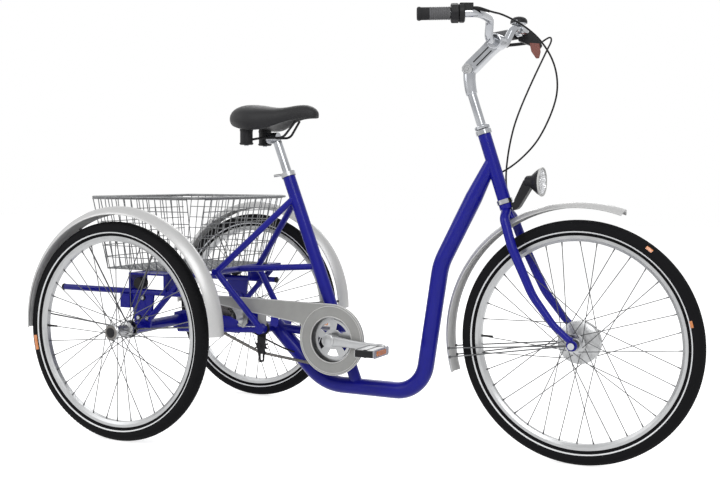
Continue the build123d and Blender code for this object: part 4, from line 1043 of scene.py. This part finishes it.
def make_shifter():
    """Eight-sided twist grip, round housing, the block that takes the cable, and the cable's boot."""
    twist = sleeve(-1, [(80.3, 20), (81.5, 24.5), (84, 25.5), (99, 25.5), (101, 23)], 8)
    housing = sleeve(-1, [(101.2, 20), (102, 23), (104, 24.5), (113, 24.5), (116, 22)])
    turn = Matrix.Rotation(radians(26), 3, "Z")
    pod = block(on_grip(-1, 108) + Vector((12, 4, 12)) * MM, (34, 16, 26), turn)
    body = merge(twist, housing, pod)
    piece("shifter_housing", body, BLACK, "steering", ("shifter",), 30, bevel=1.2)
    line = smooth([spot(1010, -203, 1188), spot(1032, -200, 1189), spot(1059, -190, 1181)], 6)
    boot = pipe(line, list(np.linspace(6.5, 3.6, len(line))), 16)
    piece("shifter_boot", boot, CABLE, "steering")


def make_brake_lever():
    """Clamp on the bar, wedge-shaped body and the blade that lies ahead of the grip."""
    clamp = sleeve(1, [(96.3, 14), (97.5, 16.5), (111, 16.5), (112, 14)])
    base = on_grip(1, 104)
    ahead = Vector((0.95, 0.28, -0.15)).normalized()
    beside = ahead.cross(UP)
    wedge = [(8, -18), (8, 16), (24, 20), (48, 10), (72, -12), (78, -24), (70, -34), (52, -30), (30, -24)]
    body = merge(clamp, prism(wedge, base + ACROSS * 4 * MM, ahead, UP, beside, 22.0))
    piece("brake_lever_body", body, BLACK, "steering", ("brake_lever",), 30, bevel=2.0)
    hinge = base + (ahead * 52 + ACROSS * 12 - UP * 12) * MM
    places = ((0, 0), (22, 10), (62, 8), (100, -4), (112, -2))
    line = smooth([hinge + (ACROSS * out - BAR_WAYS[1] * back) * MM for back, out in places], 6)
    radii = np.interp(np.linspace(0, 1, len(line)), (0, 0.2, 0.85, 1), (7.5, 5.0, 5.0, 6.5))
    piece("brake_lever_blade", pipe(line, list(radii), 12), BLACK, "steering", angle=45)
    tip = [(-16, 14), (14, 16), (17, -8), (13, -26), (4, -28), (-10, -10)]
    tip = prism(tip, base + (ahead * 58 - ACROSS * 2 - UP * 34) * MM, ahead, UP, beside, 12.0)
    piece("brake_lever_tip", tip, RED, "steering", bevel=2.0)


def make_bell():
    """Domed bell on a clamp, with its thumb lever."""
    start, end = spot(1025, 94, 1178), spot(1031, 195, 1179)
    run = (end - start).normalized()
    foot = start + run * 40 * MM
    dome = [(17, 23.2), (17, 24), (22, 24), (27, 22.6), (31, 19), (34, 13.5), (35.6, 7), (36, 1),
            (34.8, 1), (33.2, 12.5), (30, 18), (26, 21.6), (22, 22.8), (17, 23.2)]
    piece("bell_dome", lathe(dome, foot, UP, 48), BLACK, "steering", ("bell",))
    base = [lathe([(14, 4), (14, 20), (16.6, 22), (17.4, 22), (17.4, 4)], foot, UP, 40),
            ring(7, BAR_BORE, 15, foot, run, 32),
            strut(foot + UP * 11 * MM, foot + UP * 34 * MM, 4.5, 3.5, 16)]
    piece("bell_base", merge(*base), CHROME, "steering")
    places = ((-4, -16, 14), (2, -28, 15), (6, -38, 20))
    lever = pipe(smooth([foot + Vector(place) * MM for place in places], 5), 3.0)
    piece("bell_lever", lever, CHROME, "steering")


def make_lamp():
    """Shallow bowl with a mirror and a lens, on a ribbed arm from the fork's crown."""
    arm = [(19.3, -36), (19.3, -15), (28, -15), (74, 33), (86, 27), (88, 10), (38, -32), (30, -36)]
    parts = [prism(arm, HEAD_LOW, STEER_AHEAD, STEER_UP, ACROSS, 24.0)]
    for y in (-9.5, -3.2, 3.2, 9.5):
        line = [HEAD_LOW + (STEER_AHEAD * ahead + STEER_UP * up + ACROSS * y) * MM
                for ahead, up in ((30, -12.2), (52, 10.8), (72, 31.6))]
        parts.append(pipe(line, 1.7, 8))
    bowl = [(-46, 5), (-46, 12), (-42, 16), (-28, 17.5), (-20, 25), (-12, 32), (-4, 37), (0, 38.6),
            (1.5, 38.6), (1.5, 36.6), (-4, 35), (-12, 30), (-20, 22.5), (-28, 15), (-42, 13), (-44, 5),
            (-46, 5)]
    mirror = [(-30, 6), (-26, 14), (-18, 22), (-10, 28.6), (-3, 34), (-2, 34.2), (-9, 29.6), (-17, 23),
              (-25, 15), (-31, 6), (-30, 6)]
    rim = [(-2, 35.8), (-2, 38.9), (0.5, 39.6), (2.6, 38.8), (2.8, 36.6), (-2, 35.8)]
    lens = [(-1.5, 0.5), (-1.5, 36.2), (0.8, 36.2), (1.8, 30), (2.3, 18), (2.6, 0.5), (-1.5, 0.5)]
    parts.append(lathe(bowl, LENS_MIDDLE, AHEAD, 72))
    piece("lamp_shell", merge(*parts), BLACK, "steering", ("lamp",))
    piece("lamp_mirror", lathe(mirror, LENS_MIDDLE, AHEAD, 72), MIRROR, "steering")
    piece("lamp_rim", lathe(rim, LENS_MIDDLE, AHEAD, 72), GUARD_EDGE, "steering")
    piece("lamp_glass", lathe(lens, LENS_MIDDLE, AHEAD, 72), GLASS, "steering", ("lamp_lens",), 60)


make_stem()
make_grips()
make_shifter()
make_brake_lever()
make_bell()
make_lamp()


# Cables

def line_points(name, points):
    """Points read from the smooth line that a cable follows."""
    line = bpy.data.curves.new(name + "_line", "CURVE")
    line.dimensions = "3D"
    spline = line.splines.new("NURBS")
    spline.points.add(len(points) - 1)
    for place, point in zip(points, spline.points):
        point.co = (*spot(*place), 1)
    spline.order_u = 3
    spline.use_endpoint_u = True
    spline.resolution_u = 8
    holder = bpy.data.objects.new(name + "_line", line)
    mesh = bpy.data.meshes.new_from_object(holder)
    found = [vertex.co.copy() for vertex in mesh.vertices]
    bpy.data.meshes.remove(mesh)
    bpy.data.objects.remove(holder)
    bpy.data.curves.remove(line)
    return found


def make_cable(name, points, body, blend=None):
    """Sheathed cable along the smooth line through its route."""
    line = line_points(name, points)
    made = piece(name, pipe(line, CABLE_RADIUS), CABLE, body)
    if blend:
        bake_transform(made)


# The cables' routes, each point a control point of a smooth line
GEAR_ROUTE = [(1040, -200, 1189), (1062, -190, 1180), (1085, -164, 1176), (1121, -92, 1153),
              (1152, -38, 1116), (1174, 0, 1062), (1177, 22, 999), (1158, 34, 939), (1120, 38, 865),
              (1078, 38, 820), (1040, 36, 790), (1006, 32, 772), (976, 20, 757)]
BRAKE_ROUTE = [(1064, 224, 1150), (1080, 222, 1160), (1096, 214, 1164), (1103, 200, 1150), (1098, 176, 1124),
               (1072, 112, 1024), (1046, 70, 930), (1034, 54, 866), (1026, 48, 800), (1024, 48, 745),
               (1032, 58, 690), (1046, 68, 640), (1064, 76, 580), (1104, 80, 490), (1150, 82, 415),
               (1192, 80, 368), (1226, 68, 342), (1246, 50, 334), (1252, 36, 338)]
HUB_ROUTE = [(236, -70, 309), (262, -70, 299), (300, -66, 282), (336, -54, 264), (372, -36, 244),
             (392, -20, 236)]
make_cable("gear_cable", GEAR_ROUTE, None, ((1100, 0, 1130), (1040, 0, 800)))
make_cable("brake_cable", BRAKE_ROUTE, "steering")
make_cable("hub_cable", HUB_ROUTE, "frame")
barrel = lathe([(-6, 3.2), (-5, 5), (5, 5), (6, 3.2)], spot(240, -70, 307.7), (28, 0, -10.5), 12)
adjuster = merge(strut(spot(218, -70, 316), spot(246, -70, 305.5), 3.4, sides=12), barrel)
piece("hub_cable_adjuster", adjuster, ALLOY, "frame")


# Floor, light and camera

SKY_LIGHT = 0.45
FLOOR_GLOW = 0.72
FLOOR_HALF = 14.0


def seen_as(tree, lit, shown, socket):
    """Strength that is one number for the light on the object and another for what the eye sees."""
    ray = tree.nodes.new("ShaderNodeLightPath")
    seen = ray.outputs["Is Camera Ray"]
    for kind in ("Is Glossy Ray", "Is Transmission Ray"):
        either = tree.nodes.new("ShaderNodeMath")
        either.operation = "MAXIMUM"
        tree.links.new(seen, either.inputs[0])
        tree.links.new(ray.outputs[kind], either.inputs[1])
        seen = either.outputs["Value"]
    span = tree.nodes.new("ShaderNodeMapRange")
    span.inputs["To Min"].default_value = lit
    span.inputs["To Max"].default_value = shown
    tree.links.new(seen, span.inputs["Value"])
    tree.links.new(span.outputs["Result"], socket)


def make_stage():
    """Pale floor under a white world, with three soft lights."""
    floor_mesh = bpy.data.meshes.new("floor")
    corners = [(x * FLOOR_HALF, y * FLOOR_HALF, 0) for x, y in ((-1, -1), (1, -1), (1, 1), (-1, 1))]
    floor_mesh.from_pydata(corners, [], [(0, 1, 2, 3)])
    floor = bpy.data.objects.new("floor", floor_mesh)
    bpy.context.scene.collection.objects.link(floor)
    pale = material("pale_floor", (0.80, 0.80, 0.80), (0.84, 0.84, 0.84), (0.75, 0.85),
                    tone=("cloudy", 3.0), relief=("cloudy", 60.0, 0.02), Specular_IOR_Level=0.1)
    shader = pale.node_tree.nodes["Principled BSDF"]
    shader.inputs["Emission Color"].default_value = (1, 1, 1, 1)
    seen_as(pale.node_tree, 0.0, FLOOR_GLOW, shader.inputs["Emission Strength"])
    floor_mesh.materials.append(pale)
    world = bpy.data.worlds.new("studio")
    bpy.context.scene.world = world
    world.use_nodes = True
    sky = world.node_tree.nodes["Background"]
    sky.inputs["Color"].default_value = (1, 1, 1, 1)
    seen_as(world.node_tree, SKY_LIGHT, 1.0, sky.inputs["Strength"])
    # name, place, size and power of each soft light
    lights = (("key", (1.8, -3.2, 3.4), 2.6, 90.0), ("fill", (-2.8, -2.4, 2.2), 2.4, 35.0),
              ("back", (-1.0, 3.0, 2.8), 2.6, 45.0))
    for name, place, size, power in lights:
        lamp = bpy.data.lights.new(name, "AREA")
        lamp.size = size
        lamp.energy = power
        holder = bpy.data.objects.new(name, lamp)
        bpy.context.scene.collection.objects.link(holder)
        holder.location = place
        aim = Vector((0, 0, 0.5)) - Vector(place)
        holder.rotation_euler = aim.to_track_quat("-Z", "Y").to_euler()


def make_camera():
    """Camera fitted to the photograph from the wheels, hubs and head tube."""
    turn, rise, roll = radians(27.1136), radians(3.4136), radians(0.1959)
    distance = 3.0469
    aim = spot(597.0, 0.0, 580.0)
    focal_length = 52.214
    back = Vector((sin(turn) * cos(rise), -cos(turn) * cos(rise), sin(rise)))
    right = (-back).cross(Vector((0, 0, 1))).normalized()
    up = right.cross(-back)
    right, up = right * cos(roll) + up * sin(roll), up * cos(roll) - right * sin(roll)
    data = bpy.data.cameras.new("photo_camera")
    data.sensor_width = 36.0
    data.lens = focal_length
    holder = bpy.data.objects.new("photo_camera", data)
    bpy.context.scene.collection.objects.link(holder)
    pose = Matrix((right, up, back)).transposed().to_4x4()
    pose.translation = aim + back * distance
    holder.matrix_world = pose
    bpy.context.scene.camera = holder


make_stage()
make_camera()
bpy.context.scene.view_settings.view_transform = "Standard"
